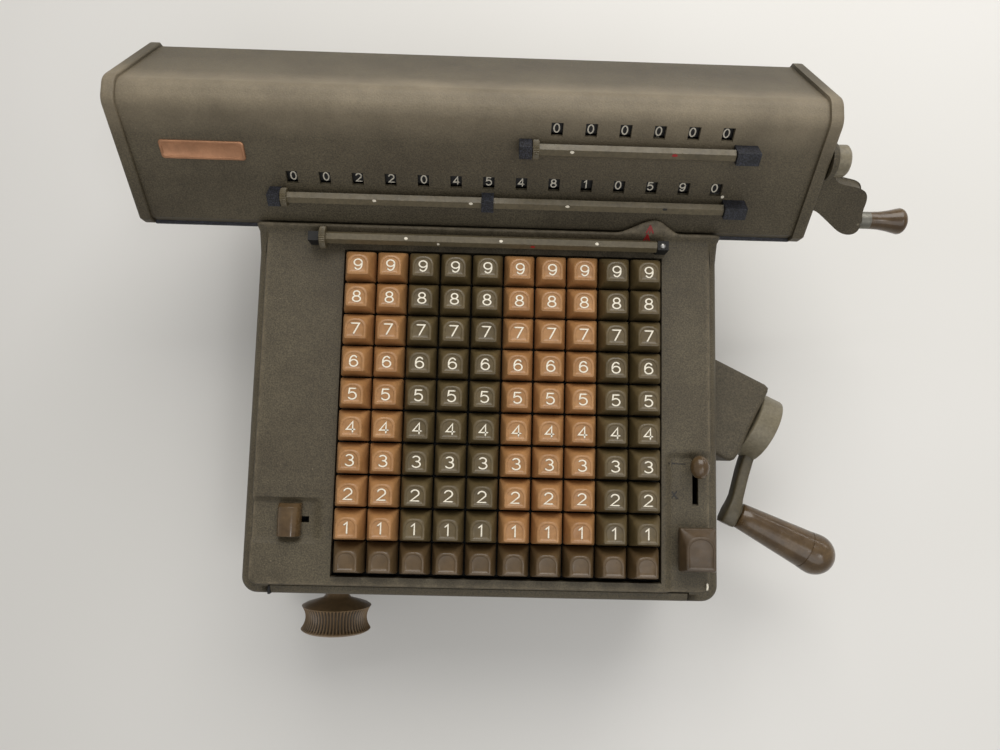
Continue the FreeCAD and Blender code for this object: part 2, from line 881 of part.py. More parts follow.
# Keys.
def key_cap(x, y, top, wide, deep, tall, face_wide, face_deep):
    """A square skirt under a body that tapers to a face with rounded back corners."""
    low = top - tall
    waist = low + number("key_skirt")
    foot = square(x, y, low, wide, deep)
    base = square(x, y, waist, wide, deep)
    forward = number("key_face_forward")
    tip = square(x, y - forward, top, face_wide, face_deep)
    bend = number("key_face_round") * face_wide / number("key_face_wide")
    right = [tip[2] + Vector(step.x, step.y, 0) for step in corner_steps(bend)]
    left = [tip[3] + Vector(-step.x, step.y, 0) for step in corner_steps(bend)]
    panels = [foot, tip[:2] + right + left[::-1]]
    panels += [[foot[n - 1], foot[n], base[n], base[n - 1]] for n in range(4)]
    panels += [
        [base[0], base[1], tip[1], tip[0]],
        [base[1], base[2], right[0], tip[1]],
        [base[2], base[3], left[-1], right[-1]],
        [base[3], base[0], tip[0], left[0]],
    ]
    for corner, rim in ((base[2], right), (base[3], left)):
        panels += [[corner, rim[n], rim[n + 1]] for n in range(len(rim) - 1)]
    faces = [Part.Face(Part.makePolygon(panel + panel[:1])) for panel in panels]
    return Part.makeSolid(Part.makeShell(faces))


def square(x, y, z, wide, deep):
    """Four corners of a level rectangle, from the left front one anticlockwise."""
    half, reach = wide / 2, deep / 2
    places = ((-half, -reach), (half, -reach), (half, reach), (-half, reach))
    return [Vector(x + across, y + along, z) for across, along in places]


def corner_steps(bend):
    """Steps from a square corner on to the few flats that round it off."""
    angles = [math.radians(turn) for turn in turns(0, 90, int(number("key_corner_steps")))]
    return [Vector(bend * (math.cos(turn) - 1), bend * (math.sin(turn) - 1), 0) for turn in angles]


def key_stem(x, y, low, high):
    wide, deep = number("key_stem_wide") / 2, number("key_stem_thick") / 2
    return block(x - wide, x + wide, y - deep, y + deep, low, high)


def small_key(x, y, top):
    base, tall = number("key_base"), number("key_tall")
    cap = key_cap(x, y, top, base, base, tall, number("key_face_wide"), number("key_face_deep"))
    stem = key_stem(x, y, number("key_plate_top") - number("key_plate_thick") - OVER, top - tall)
    return cap.fuse(stem)


def make_keys():
    xs, ys = key_places()
    top = number("key_top")
    for column, x in enumerate(xs, start=1):
        keys = [small_key(x, y, top) for y in ys[1:]]
        solid(f"key_column_{column:02d}", Part.makeCompound(keys))
        solid(f"column_clear_key_{column:02d}", small_key(x, ys[0], top - number("clear_row_drop")))
    x, y = number("big_key_x"), number("big_key_y")
    wide, deep, tall = number("big_key_wide"), number("big_key_deep"), number("big_key_tall")
    low = number("panel_top") - number("recess_deep") + number("key_travel") + number("fit_gap")
    cap = key_cap(x, y, low + tall, wide, deep, tall, number("big_key_face_wide"), number("big_key_face_deep"))
    solid("keyboard_clear_key", cap.fuse(key_stem(x, y, number("key_plate_top") + OVER, low)))


# Levers beside the keyboard.
def make_function_lever():
    body = new_body("function_lever")
    x, y, half = size("function_knob_x"), size("function_knob_y"), size("function_knob_wide") / 2
    reach = size("function_knob_deep") / 2
    low = size("panel_top") - size("recess_deep") + size("fit_gap")
    tall = size("function_knob_tall")
    knob = new_sketch(body, "XZ_Plane", reach - y)
    corners = [(x - half, low), (x + half, low), (x + half, low + tall / 2), (x - half, low + tall / 2)]
    loop(knob, corners, {2: tall / 2})
    pad(body, knob, reach * 2, reverse=True)
    stem = new_sketch(body, "XY_Plane", low)
    thin = size("lever_stem") / 2
    box_loop(stem, x - thin * 2, x + thin * 2, y - thin, y + thin)
    pad(body, stem, size("lever_reach") / 2, reverse=True)
    place(body)
    keep(body, "function_lever")


def make_mode_lever():
    """A pear-shaped knob on a flat stem."""
    body = new_body("mode_lever")
    low = size("panel_top") - size("recess_deep") + size("fit_gap")
    radius, tall = size("mode_knob_wide") / 2, size("mode_knob_tall")
    thin = size("lever_stem") / 2
    side = new_sketch(body, "XZ_Plane")
    middle = tall - radius
    ball = [(radius * cosine(as_size(turn)), middle + radius * sine(as_size(turn)))
            for turn in turns(-50, 90, int(number("ball_steps")))]
    ball[-1] = (0, tall)
    loop(side, [(0, 0), (thin * 2, 0)] + ball)
    revolve(body, side, "V_Axis")
    stem = new_sketch(body, "XY_Plane", OVER / 2)
    box_loop(stem, -thin, thin, -thin * 2, thin * 2)
    pad(body, stem, size("lever_reach") / 2, reverse=True)
    place(body, (size("mode_knob_x"), size("mode_knob_y"), low))
    keep(body, "mode_lever")


# Toothed wheels.
def involute(angle):
    return math.tan(angle) - angle


def tooth_half_angle(radius, pitch_radius, teeth, backlash):
    """Half the angle that a tooth fills at a given radius."""
    pressure = math.radians(PRESSURE_ANGLE)
    base = pitch_radius * math.cos(pressure)
    at_pitch = math.pi / (2 * teeth) - backlash / (2 * pitch_radius)
    here = math.acos(min(1.0, base / radius))
    return at_pitch + involute(pressure) - involute(here)


def spur_gear(teeth, module, thick, bore, turn):
    """A straight-toothed wheel on Z with one tooth at the angle turn, in radians."""
    backlash = number("gear_backlash")
    pitch_radius = module * teeth / 2
    root, tip = pitch_radius - TOOTH_FOOT * module, pitch_radius + module
    base = max(root, pitch_radius * math.cos(math.radians(PRESSURE_ANGLE)))
    root_half = tooth_half_angle(base, pitch_radius, teeth, backlash)
    tip_half = tooth_half_angle(tip, pitch_radius, teeth, backlash)
    points = []
    for tooth in range(teeth):
        centre = turn + 2 * math.pi * tooth / teeth
        for radius, half in ((root, -root_half), (tip, -tip_half), (tip, tip_half), (root, root_half)):
            points.append(Vector(radius * math.cos(centre + half), radius * math.sin(centre + half), 0))
    face = Part.Face(Part.makePolygon(points + points[:1]))
    wheel = face.extrude(Vector(0, 0, thick))
    return wheel.cut(Part.makeCylinder(bore / 2, thick))


def stand(shape, x_way, z_way, spot=Vector()):
    """Place a shape so that its own X and Z follow the two given directions."""
    y_way = z_way.cross(x_way)
    rows = [(x_way[n], y_way[n], z_way[n], spot[n]) for n in range(3)]
    shape.Placement = FreeCAD.Placement(FreeCAD.Matrix(*rows[0], *rows[1], *rows[2], 0, 0, 0, 1))
    return shape


def along_x(shape, x, y, z):
    """Lay a wheel made on Z along X, with its own X along Y."""
    return stand(shape, Vector(0, 1, 0), Vector(1, 0, 0), Vector(x, y, z))


def along_y(shape, x, y, z):
    """Lay a wheel made on Z along Y, with its own X along Z."""
    return stand(shape, Vector(0, 0, 1), Vector(0, 1, 0), Vector(x, y, z))


def bevel_wheel(turn):
    """A nearly flat bevel wheel on +Z whose cone has its point at the origin."""
    teeth, radius, face = int(number("bevel_teeth")), number("bevel_radius"), number("bevel_face")
    half_angle = bevel_half_angle()
    slant = radius / math.sin(half_angle)
    pitch = math.pi * 2 * radius / teeth
    height = pitch / math.pi
    inner = radius * (1 - face / slant)
    flat = 1 / math.tan(half_angle)
    drop = height * number("bevel_web")
    back = radius * flat + number("bevel_back")
    profile = [
        Vector(0, 0, inner * flat + drop),
        Vector(inner, 0, inner * flat + drop),
        Vector(radius, 0, radius * flat + drop),
        Vector(radius, 0, back),
        Vector(0, 0, back),
    ]
    disc = Part.Face(Part.makePolygon(profile + profile[:1])).revolve(Vector(), Vector(0, 0, 1), 360)
    teeth_shapes = []
    for tooth in range(teeth):
        spin = turn + 2 * math.pi * tooth / teeth
        teeth_shapes.append(bevel_tooth(spin, half_angle, slant, face, pitch))
    return disc.fuse(teeth_shapes).removeSplitter()


def bevel_tooth(spin, half_angle, slant, face, pitch):
    """One tooth, tapered towards the point of the cone."""
    radial = Vector(math.cos(spin), math.sin(spin), 0)
    way = radial * math.sin(half_angle) + Vector(0, 0, math.cos(half_angle))
    side = Vector(-math.sin(spin), math.cos(spin), 0)
    out = side.cross(way)
    lean = math.tan(math.radians(PRESSURE_ANGLE))
    sections = []
    for distance in (slant, slant - face):
        share = distance / slant
        rise = pitch / math.pi * number("bevel_rise") * share
        sink = pitch / math.pi * number("bevel_sink") * share
        half = (pitch / 2 - number("gear_backlash")) / 2 * share
        middle = way * distance
        corners = [
            middle - out * sink - side * (half + sink * lean / 2),
            middle + out * rise - side * (half - rise * lean),
            middle + out * rise + side * (half - rise * lean),
            middle - out * sink + side * (half + sink * lean / 2),
        ]
        sections.append(Part.makePolygon(corners + corners[:1]))
    return Part.makeLoft(sections, True, True)


# Crank, its housing and the drive train.
def crank_rotation():
    return FreeCAD.Rotation(Vector(0, 0, 1), number("crank_angle"))


def crank_point(out, radial):
    """A point beside the crank, out along its axis and down its arm."""
    angle = size("crank_angle")
    x = size("crank_face_x") + out * cosine(angle) + radial * sine(angle)
    y = size("crank_face_y") + out * sine(angle) - radial * cosine(angle)
    return x, y, size("crank_axis_z")


def make_crank_housing():
    """A round boss on the slanted crank axis, cut flush with the side of the body."""
    body = new_body("crank_housing")
    radius, bend = size("housing_wide") / 2, size("housing_round")
    bore = size("crank_shaft_wide") / 2 + size("running_gap")
    reach = size("housing_long")
    side = new_sketch(body, "XZ_Plane")
    rounding = [(bend * (sine(as_size(turn)) - 1), radius - bend * (1 - cosine(as_size(turn))))
                for turn in turns(90, 0, 2)]
    loop(side, [(-reach, bore), (0, bore)] + rounding + [(-reach, radius)])
    revolve(body, side, "H_Axis")
    tilt = math.radians(number("crank_angle"))
    start = Vector((number("body_right") - number("crank_face_x")) / math.cos(tilt), 0, 0)
    wall = Vector(math.sin(tilt), math.cos(tilt), 0) * float(reach)
    inward = Vector(-math.cos(tilt), math.sin(tilt), 0) * (2 * float(reach))
    corners = (start + wall, start + wall + inward, start - wall + inward, start - wall)
    trim = new_sketch(body, "XY_Plane", radius + OVER)
    loop(trim, [(point.x, point.y) for point in corners])
    pocket(body, trim)
    place(body, crank_point(0, 0), crank_rotation())
    keep(body, "crank_housing")


def make_crank_arm():
    """Hub disc, joggled arm and grip pin, riveted into one piece."""
    body = new_body("crank_arm")
    gap, hub, thick = size("fit_gap"), size("crank_hub_thick"), size("crank_arm_thick")
    face = gap + hub
    half = size("crank_arm_wide") / 2
    far, radius = size("crank_radius"), size("crank_hub_wide") / 2
    bevel = size("hub_bevel")
    side = new_sketch(body, "XZ_Plane")
    loop(side, [(gap, 0), (face, 0), (face, radius - bevel), (face - bevel, radius), (gap, radius)])
    revolve(body, side, "H_Axis")
    inner = gap + size("crank_joggle")
    outer = inner + thick
    arm = new_sketch(body, "XY_Plane", -half)
    points = [
        (gap, 0),
        (gap, bevel - radius),
        (inner, -radius - size("crank_joggle_long")),
        (inner, -far),
        (outer, -far),
        (outer, -radius - size("crank_joggle_long") + size("crank_joggle_offset")),
        (face, bevel * 3 - radius),
        (face, 0),
    ]
    loop(arm, points)
    pad(body, arm, half * 2)
    end = new_sketch(body, "YZ_Plane", inner)
    circle(end, (-far, 0), half)
    pad(body, end, thick)
    pin = new_sketch(body, "YZ_Plane", outer - OVER)
    circle(pin, (-far, 0), size("crank_pin_wide") / 2)
    pad(body, pin, size("grip_long") * size("grip_bore_share"))
    place(body, crank_point(0, 0), crank_rotation())
    keep(body, "crank_arm")


def make_crank_grip():
    """A tapered handle with a domed end, free to turn on its pin."""
    body = new_body("crank_grip")
    bore = size("crank_pin_wide") / 2 + size("running_gap")
    root, end = size("grip_root_wide") / 2, size("grip_end_wide") / 2
    long, dome = size("grip_long"), size("grip_dome")
    deep = long * size("grip_bore_share") + size("fit_gap")
    side = new_sketch(body, "XZ_Plane")
    steps = int(number("dome_steps"))
    top = [(long + dome * sine(as_size(turn)), end * cosine(as_size(turn))) for turn in turns(90, 0, steps)]
    top[0] = (long + dome, 0)
    loop(side, [(0, bore), (deep, bore), (deep, 0)] + top + [(0, root)])
    revolve(body, side, "H_Axis")
    out = size("fit_gap") * 2 + size("crank_joggle") + size("crank_arm_thick")
    place(body, crank_point(out, size("crank_radius")), crank_rotation())
    keep(body, "crank_grip")


def bevel_half_angle():
    return math.radians(90 - abs(number("crank_angle")) / 2)


def contact_way(way):
    """The direction square to a bevel's axis, on the side where the pair meets."""
    front = Vector(0, -1, 0)
    return (front - way * front.dot(way)).normalize()


def bevel_spot():
    x, y = bevel_point()
    return Vector(float(x), float(y), number("crank_axis_z"))


def make_crank_shaft():
    """Shaft with a bevel wheel on its inner end, running in the housing."""
    spot = bevel_spot()
    face = Vector(number("crank_face_x"), number("crank_face_y"), number("crank_axis_z"))
    way = (face - spot).normalize()
    reach = (face - spot).Length + number("fit_gap")
    start = number("bevel_radius") / math.tan(bevel_half_angle()) + number("bevel_back") / 2
    shaft = Part.makeCylinder(number("crank_shaft_wide") / 2, reach - start, Vector(0, 0, start))
    shape = bevel_wheel(0.0).fuse(shaft).removeSplitter()
    solid("crank_shaft", stand(shape, contact_way(way), way, spot))


def make_drive_shaft():
    """Short shaft from the bevel pair through the right frame to the drive wheel."""
    spot = bevel_spot()
    start = number("bevel_radius") / math.tan(bevel_half_angle()) + number("bevel_back") / 2
    left = number("side_frame_right") - number("gear_thick") - number("wheel_gap") * 2
    shaft = Part.makeCylinder(number("drive_shaft_wide") / 2, spot.x - left - start, Vector(0, 0, start))
    shape = bevel_wheel(math.pi / number("bevel_teeth")).fuse(shaft).removeSplitter()
    way = Vector(-1, 0, 0)
    solid("drive_shaft", stand(shape, contact_way(way), way, spot))


def make_gear_train():
    """Drive wheel, idler and main wheel, in mesh with one another."""
    module, thick = number("gear_module"), number("gear_thick")
    few, many = int(number("drive_teeth")), int(number("idler_teeth"))
    x = number("side_frame_right") - thick - number("wheel_gap")
    start = bevel_spot()
    middle = idler_centre()
    end = (number("main_shaft_y"), number("main_shaft_z"))
    first = math.atan2(middle[1] - start.z, middle[0] - start.y)
    second = math.atan2(end[1] - middle[1], end[0] - middle[0])
    idler_turn = first + math.pi + math.pi / many
    main_turn = second + math.pi + math.pi / few - (idler_turn - second) * many / few
    bore = number("main_shaft_wide")
    drive = spur_gear(few, module, thick, number("drive_shaft_wide"), first)
    solid("drive_gear", along_x(drive, x, start.y, start.z))
    idler = spur_gear(many, module, thick, bore, idler_turn)
    solid("idler_gear", along_x(idler, x, *middle))
    main = spur_gear(few, module, thick, bore, main_turn)
    solid("main_gear", along_x(main, x, *end))


def make_main_shaft():
    y, z = number("main_shaft_y"), number("main_shaft_z")
    left = Vector(number("side_frame_left") - OVER, y, z)
    right = Vector(number("side_frame_right") + number("frame_plate") + OVER, y, z)
    solid("main_shaft", rod(left, right, number("main_shaft_wide")))


def make_rotors():
    """One pinwheel for each key column, with its pins drawn in to their stubs."""
    y, z, radius = number("main_shaft_y"), number("main_shaft_z"), number("rotor_radius")
    thick, wide, pins = number("rotor_thick"), number("rotor_pin_wide"), int(number("rotor_pins"))
    reach = radius + number("rotor_pin_reach")
    xs, ys = key_places()
    sides = int(number("rotor_sides"))
    rim = [Vector(0, radius * math.cos(turn), radius * math.sin(turn))
           for turn in (2 * math.pi * side / sides for side in range(sides + 1))]
    disc = Part.Face(Part.makePolygon(rim)).extrude(Vector(thick, 0, 0))
    rooted = radius - OVER * 2
    stub = Part.makeBox(wide, wide, reach - rooted, Vector(thick / 2 - wide / 2, -wide / 2, rooted))
    stubs = []
    for pin in range(pins):
        copy = stub.copy()
        copy.rotate(Vector(0, 0, 0), Vector(1, 0, 0), 90 + 360 / sides * pin)
        stubs.append(copy)
    wheel = disc.fuse(stubs)
    wheel = wheel.cut(Part.makeCylinder(number("main_shaft_wide") / 2, thick, Vector(0, 0, 0), Vector(1, 0, 0)))
    wheels = []
    for x in xs:
        copy = wheel.copy()
        copy.translate(Vector(x - thick / 2, y, z))
        wheels.append(copy)
    solid("pinwheel_rotors", Part.makeCompound(wheels))


# Carriage shift: knob, shaft, wheels and rack.
def make_shift_knob():
    """A waisted knob on a short neck."""
    body = new_body("shift_knob")
    rim, waist, neck = size("knob_wide") / 2, size("knob_waist") / 2, size("knob_neck") / 2
    back, front = size("knob_back"), size("knob_front")
    panel = size("body_front") - size("fit_gap")
    nose = front - size("knob_nose")
    side = new_sketch(body, "YZ_Plane")
    middle, half = (back + front) / 2, (back - front) / 2
    shares = [1 - share / 90 for share in turns(0, 180, int(number("knob_steps")))]
    waisted = [(middle + half * share, waist + (rim - waist) * share * share) for share in shares]
    start = [(nose, 0), (panel, 0), (panel, neck), (back + size("knob_cone"), neck)]
    loop(side, start + waisted + [(nose, rim - size("knob_nose") * 1.5)])
    revolve(body, side, "H_Axis")
    place(body, (size("shift_x"), 0, size("shift_z")))
    keep(body, "shift_knob")


def make_shift_train():
    """Shaft with its wheel cut on it, and the idler that drives the carriage rack."""
    x, z, y = number("shift_x"), number("shift_z"), number("shift_gear_y")
    module, thick = number("shift_module"), number("shift_gear_thick")
    lower, upper = int(number("shift_gear_teeth")), int(number("shift_idler_teeth"))
    wide = number("shift_shaft_wide")
    idler_z = float(shift_idler_z())
    start = Vector(x, number("body_front") - number("fit_gap"), z)
    shaft = rod(start, Vector(x, y + thick, z), wide)
    wheel = along_y(spur_gear(lower, module, thick, wide - OVER, 0.0), x, y, z)
    solid("shift_shaft", shaft.fuse(wheel).removeSplitter())
    idler = spur_gear(upper, module, thick, wide, math.pi + math.pi / upper)
    solid("shift_idler", along_y(idler, x, y, idler_z))


# Carriage: cover, end plates, frame, dials, sight bars and clearing crank.
def tangent(angle):
    return sine(angle) / cosine(angle)


def carriage_outline(grow):
    """The section of the carriage, grown outwards by a distance, from its low front corner."""
    grow = as_size(grow)
    front_angle, back_angle = size("carriage_slope"), size("carriage_back_slope")
    low, front, back = size("carriage_low"), size("carriage_front"), size("carriage_back")
    step = size("carriage_front_top")
    ridge_front = size("carriage_ridge_y")
    ridge_back = ridge_front + size("carriage_ridge_deep")
    ridge = step + (ridge_front - front) * tangent(front_angle)
    back_top = ridge - (back - ridge_back) * tangent(back_angle)
    slack_front = grow * (tangent(front_angle) - 1 / cosine(front_angle))
    slack_back = grow * (tangent(back_angle) - 1 / cosine(back_angle))
    top_front = grow * (1 - cosine(front_angle)) / sine(front_angle)
    top_back = grow * (1 - cosine(back_angle)) / sine(back_angle)
    return [
        (front - grow, low),
        (front - grow, step - slack_front),
        (ridge_front - top_front, ridge + grow),
        (ridge_back + top_back, ridge + grow),
        (back + grow, back_top - slack_back),
        (back + grow, low),
    ]


def ridge_edge(edge):
    """The two long edges of the ridge."""
    box = edge.BoundBox
    return box.XLength > 1 and box.ZLength < NEAR and box.ZMin > number("clear_axis_z") + 8


def make_carriage_cover():
    body = new_body("carriage_cover")
    thick = size("end_plate_thick")
    left, right = size("carriage_left") + thick, size("carriage_right") - thick
    outside = new_sketch(body, "YZ_Plane", left)
    loop(outside, carriage_outline(0))
    form = pad(body, outside, right - left)
    fillet(body, form, size("carriage_round"), ridge_edge)
    inside = new_sketch(body, "YZ_Plane", right + OVER)
    inner = carriage_outline(-size("sheet_wall"))
    inner[0] = (inner[0][0], inner[0][1] - OVER)
    inner[-1] = (inner[-1][0], inner[-1][1] - OVER)
    loop(inside, inner)
    pocket(body, inside)
    cut_windows(body)
    place(body)
    keep(body, "carriage_cover")


def face_sketch(body, rise=0.0):
    """A sketch on the sloping front, X along the machine and Y up the slope."""
    sketch = body.newObject("Sketcher::SketchObject", "Sketch")
    sketch.AttachmentSupport = [(origin_plane(body, "XY_Plane"), "")]
    sketch.MapMode = "FlatFace"
    turn = FreeCAD.Rotation(Vector(1, 0, 0), number("carriage_slope"))
    spot = face_place(0, rise)
    sketch.AttachmentOffset = FreeCAD.Placement(Vector(0, float(spot[0]), float(spot[1])), turn)
    bind(sketch, ".AttachmentOffset.Base.y", spot[0])
    bind(sketch, ".AttachmentOffset.Base.z", spot[1])
    return sketch


def face_place(up, out):
    """Y and Z of a point a distance up the sloping front and out from it."""
    angle = size("carriage_slope")
    y = size("carriage_front") + up * cosine(angle) - out * sine(angle)
    z = size("carriage_front_top") + up * sine(angle) + out * cosine(angle)
    return y, z


def result_up():
    """How far up the slope the result windows lie."""
    return (size("result_window_y") - size("carriage_front")) / cosine(size("carriage_slope"))


def cut_windows(body):
    wide, tall = size("window_wide") / 2, size("window_tall") / 2
    rows = (
        (size("result_first_x"), result_up(), int(number("result_dials"))),
        (size("counter_first_x"), result_up() + size("counter_up"), int(number("counter_dials"))),
    )
    windows = face_sketch(body)
    for first, up, count in rows:
        for place_number in range(count):
            x = first + size("key_pitch") * place_number
            box_loop(windows, x - wide, x + wide, up - tall, up + tall)
    pocket(body, windows, size("sheet_wall") + OVER)


def make_end_plates():
    thick, bend = size("end_plate_thick"), size("end_plate_round")
    for name, x in (("carriage_end_left", size("carriage_left")),
                    ("carriage_end_right", size("carriage_right") - thick)):
        body = new_body(name)
        side = new_sketch(body, "YZ_Plane", x)
        loop(side, carriage_outline(size("end_plate_proud")))
        form = pad(body, side, thick)
        form = fillet(body, form, size("carriage_round"), ridge_edge)
        outer = float(x) if name.endswith("left") else float(x + thick)
        form = fillet(body, form, bend, lambda edge, at=outer: on_outer_face(edge, at))
        if name.endswith("right"):
            hole = new_sketch(body, "YZ_Plane", x + thick + OVER)
            radius = size("clear_shaft_wide") / 2 + size("running_gap")
            circle(hole, (size("clear_axis_y"), size("clear_axis_z")), radius)
            pocket(body, hole)
        place(body)
        keep(body, name)


def on_outer_face(edge, x):
    box = edge.BoundBox
    flat = abs(box.XMin - x) < NEAR and abs(box.XMax - x) < NEAR
    return flat and box.ZMax > number("carriage_low") + 1


def make_carriage_frame():
    """Floor with an opening over the pinwheels, guide shoes and the shift rack."""
    gap, wall = number("fit_gap"), number("sheet_wall")
    low, thick = number("carriage_floor"), number("carriage_floor_thick")
    left = number("carriage_left") + number("end_plate_thick") + gap
    right = number("carriage_right") - number("end_plate_thick") - gap
    front, back = number("carriage_front") + wall + gap, number("carriage_back") - wall - gap
    floor = block(left, right, front, back, low, low + thick)
    y = number("main_shaft_y")
    travel_left, travel_right = number("carriage_home_travel"), number("carriage_far_travel")
    half, deep = float(half_drum()) + number("floor_margin"), number("floor_opening") / 2
    window = block(-half - travel_right, half + travel_left, y - deep, y + deep, low - OVER, low + thick + OVER)
    floor = floor.cut(window)
    rail_top, half_rail = number("deck_top") + number("rail_tall"), number("rail_wide") / 2
    shoes = []
    for rail_y in (number("rail_front_y"), number("rail_back_y")):
        for x in (number("body_left") + number("shoe_left"), number("body_right") - number("shoe_right")):
            shoes.append(shoe(x, rail_y, half_rail, rail_top + gap, low + OVER))
    return floor.fuse(shoes + [rack()]).removeSplitter()


def shoe(x, y, half, low, top):
    """A saddle that straddles one rail."""
    gap, long, wall = number("fit_gap"), number("shoe_long"), number("shoe_wall")
    saddle = block(x, x + long, y - half - wall, y + half + wall, low - wall, top)
    groove = block(x - OVER, x + long + OVER, y - half - gap, y + half + gap, low - wall - OVER, low)
    return saddle.cut(groove)


def rack():
    """Teeth under the floor, in mesh with the shift idler."""
    module, teeth = number("shift_module"), int(number("shift_idler_teeth"))
    pitch_line = float(shift_idler_z()) + module * teeth / 2
    y, thick = number("shift_gear_y"), number("shift_gear_thick")
    step, centre = math.pi * module, number("shift_x")
    before = int((number("carriage_far_travel") + 3 * module) / step) + 1
    after = int((number("carriage_home_travel") + 3 * module) / step) + 1
    lean = math.tan(math.radians(PRESSURE_ANGLE))
    half = step / 4 - number("gear_backlash") / 2
    root = pitch_line + TOOTH_FOOT * module
    top = number("carriage_floor") + OVER
    teeth_shapes = []
    for count in range(-before, after + 1):
        x = centre + step * count
        corners = [
            Vector(x - half - TOOTH_FOOT * module * lean, y, root),
            Vector(x - half + module * lean, y, pitch_line - module),
            Vector(x + half - module * lean, y, pitch_line - module),
            Vector(x + half + TOOTH_FOOT * module * lean, y, root),
        ]
        teeth_shapes.append(Part.Face(Part.makePolygon(corners + corners[:1])).extrude(Vector(0, thick, 0)))
    low_x, high_x = centre - step * (before + 0.5), centre + step * (after + 0.5)
    bar = block(low_x, high_x, y, y + thick, root, max(top, root + OVER))
    return bar.fuse(teeth_shapes)


def dial(x, y, z, bore):
    """A ten-sided figure wheel on X with one flat facing the window."""
    radius, wide = number("dial_radius"), number("dial_wide")
    facing = math.radians(90 + number("carriage_slope"))
    rim = []
    for side in range(10):
        turn = facing + math.pi / 10 + 2 * math.pi * side / 10
        rim.append(Vector(x - wide / 2, y + radius * math.cos(turn), z + radius * math.sin(turn)))
    wheel = Part.Face(Part.makePolygon(rim + rim[:1])).extrude(Vector(wide, 0, 0))
    return wheel.cut(rod(Vector(x - wide, y, z), Vector(x + wide, y, z), bore))


def dial_place(up):
    y, z = face_place(up, -size("dial_depth"))
    return float(y), float(z)


def make_dials():
    pitch, bore = number("key_pitch"), number("dial_axle") * 2 + number("running_gap") * 2
    y, z = dial_place(result_up())
    count, first = int(number("result_dials")), number("result_first_x")
    wheels = [dial(first + pitch * place_number, y, z, bore) for place_number in range(count)]
    solid("result_dials", Part.makeCompound(wheels))
    left = number("carriage_left") + number("end_plate_thick")
    right = number("carriage_right") - number("end_plate_thick")
    axles = [rod(Vector(left, y, z), Vector(right, y, z), number("dial_axle") * 2)]
    y, z = dial_place(result_up() + size("counter_up"))
    count, first = int(number("counter_dials")), number("counter_first_x")
    active = int(number("counter_active")) - 1
    wheels = [dial(first + pitch * place_number, y, z, bore) for place_number in range(count)]
    solid("counter_active_dial", wheels.pop(active))
    solid("counter_dials", Part.makeCompound(wheels))
    axles.append(rod(Vector(left, y, z), Vector(right, y, z), number("dial_axle") * 2))
    solid("dial_axles", Part.makeCompound(axles))


def hex_bar(x, end, y, z, wide, journal, turn):
    """A six-sided bar with round ends that run in its blocks."""
    rim = []
    for side in range(7):
        angle = turn + math.pi * side / 3
        rim.append(Vector(x, y + wide / 2 * math.cos(angle), z + wide / 2 * math.sin(angle)))
    bar = Part.Face(Part.makePolygon(rim)).extrude(Vector(end - x, 0, 0))
    reach = number("journal_long")
    ends = rod(Vector(x - reach, y, z), Vector(end + reach, y, z), journal)
    disc_wide, disc_thick = number("bar_disc_wide"), number("bar_disc_thick")
    disc = rod(Vector(x, y, z), Vector(x + disc_thick, y, z), disc_wide)
    return bar.fuse([ends, disc]).removeSplitter()


def bearing(x, end, y, z, turn, stand_off, wide, bore=None):
    """A block from the surface out past the bar's centre, with a bore along X."""
    tall = number("bar_block_tall")
    low = -stand_off
    shape = block(x, end, -wide / 2, wide / 2, low, low + tall)
    bore = bore or number("bar_journal") / 2 + number("running_gap")
    long = end - x + OVER * 2
    shape = shape.cut(Part.makeCylinder(bore, long, Vector(x - OVER, 0, 0), Vector(1, 0, 0)))
    shape.rotate(Vector(0, 0, 0), Vector(1, 0, 0), turn)
    shape.translate(Vector(0, y, z))
    return shape


def make_sight_bars():
    gap, wide, journal = number("fit_gap"), number("bar_wide"), number("bar_journal")
    slope = number("carriage_slope")
    off = number("bar_stand_off")
    small, large = number("disc_block"), number("end_block")
    deep = number("bar_block_wide")
    y, z = [float(value) for value in face_place(result_up() - size("result_bar_down"), off)]
    left, right = number("result_bar_left"), number("result_bar_right")
    facing = math.radians(slope)
    solid("result_bar", hex_bar(left, right, y, z, wide, journal, facing))
    middle, half = number("result_bar_middle"), number("bar_block_tall") / 3
    blocks = [
        bearing(left - gap - small, left - gap, y, z, slope, off, deep),
        bearing(right + gap, right + gap + large, y, z, slope, off, deep),
        bearing(middle - half, middle + half, y, z, slope, off, deep, wide / 2 + gap),
    ]
    y, z = [float(value) for value in face_place(result_up() + size("counter_bar_up"), off)]
    left, right = number("counter_bar_left"), number("counter_bar_right")
    solid("counter_bar", hex_bar(left, right, y, z, wide, journal, facing))
    blocks += [
        bearing(left - gap - small, left - gap, y, z, slope, off, deep),
        bearing(right + gap, right + gap + large, y, z, slope, off, deep),
    ]
    solid("bar_blocks_carriage", Part.makeCompound(blocks))
    y, z = number("keyboard_bar_y"), number("keyboard_bar_z")
    off, deep = z - number("panel_top"), number("keyboard_block_deep")
    left, right, long = number("keyboard_bar_left"), number("keyboard_bar_right"), number("keyboard_block")
    solid("keyboard_bar", hex_bar(left, right, y, z, wide, journal, 0.0))
    blocks = [
        bearing(left - gap - long, left - gap, y, z, 0.0, off, deep),
        bearing(right + gap, right + gap + long, y, z, 0.0, off, deep),
    ]
    solid("bar_blocks_keyboard", Part.makeCompound(blocks))


def clear_point(out, along):
    """A point beside the clearing crank, out along X and down its arm."""
    angle = size("clear_arm_angle")
    y = size("clear_axis_y") - along * cosine(angle)
    z = size("clear_axis_z") - along * sine(angle)
    return size("carriage_right") + size("fit_gap") + out, y, z


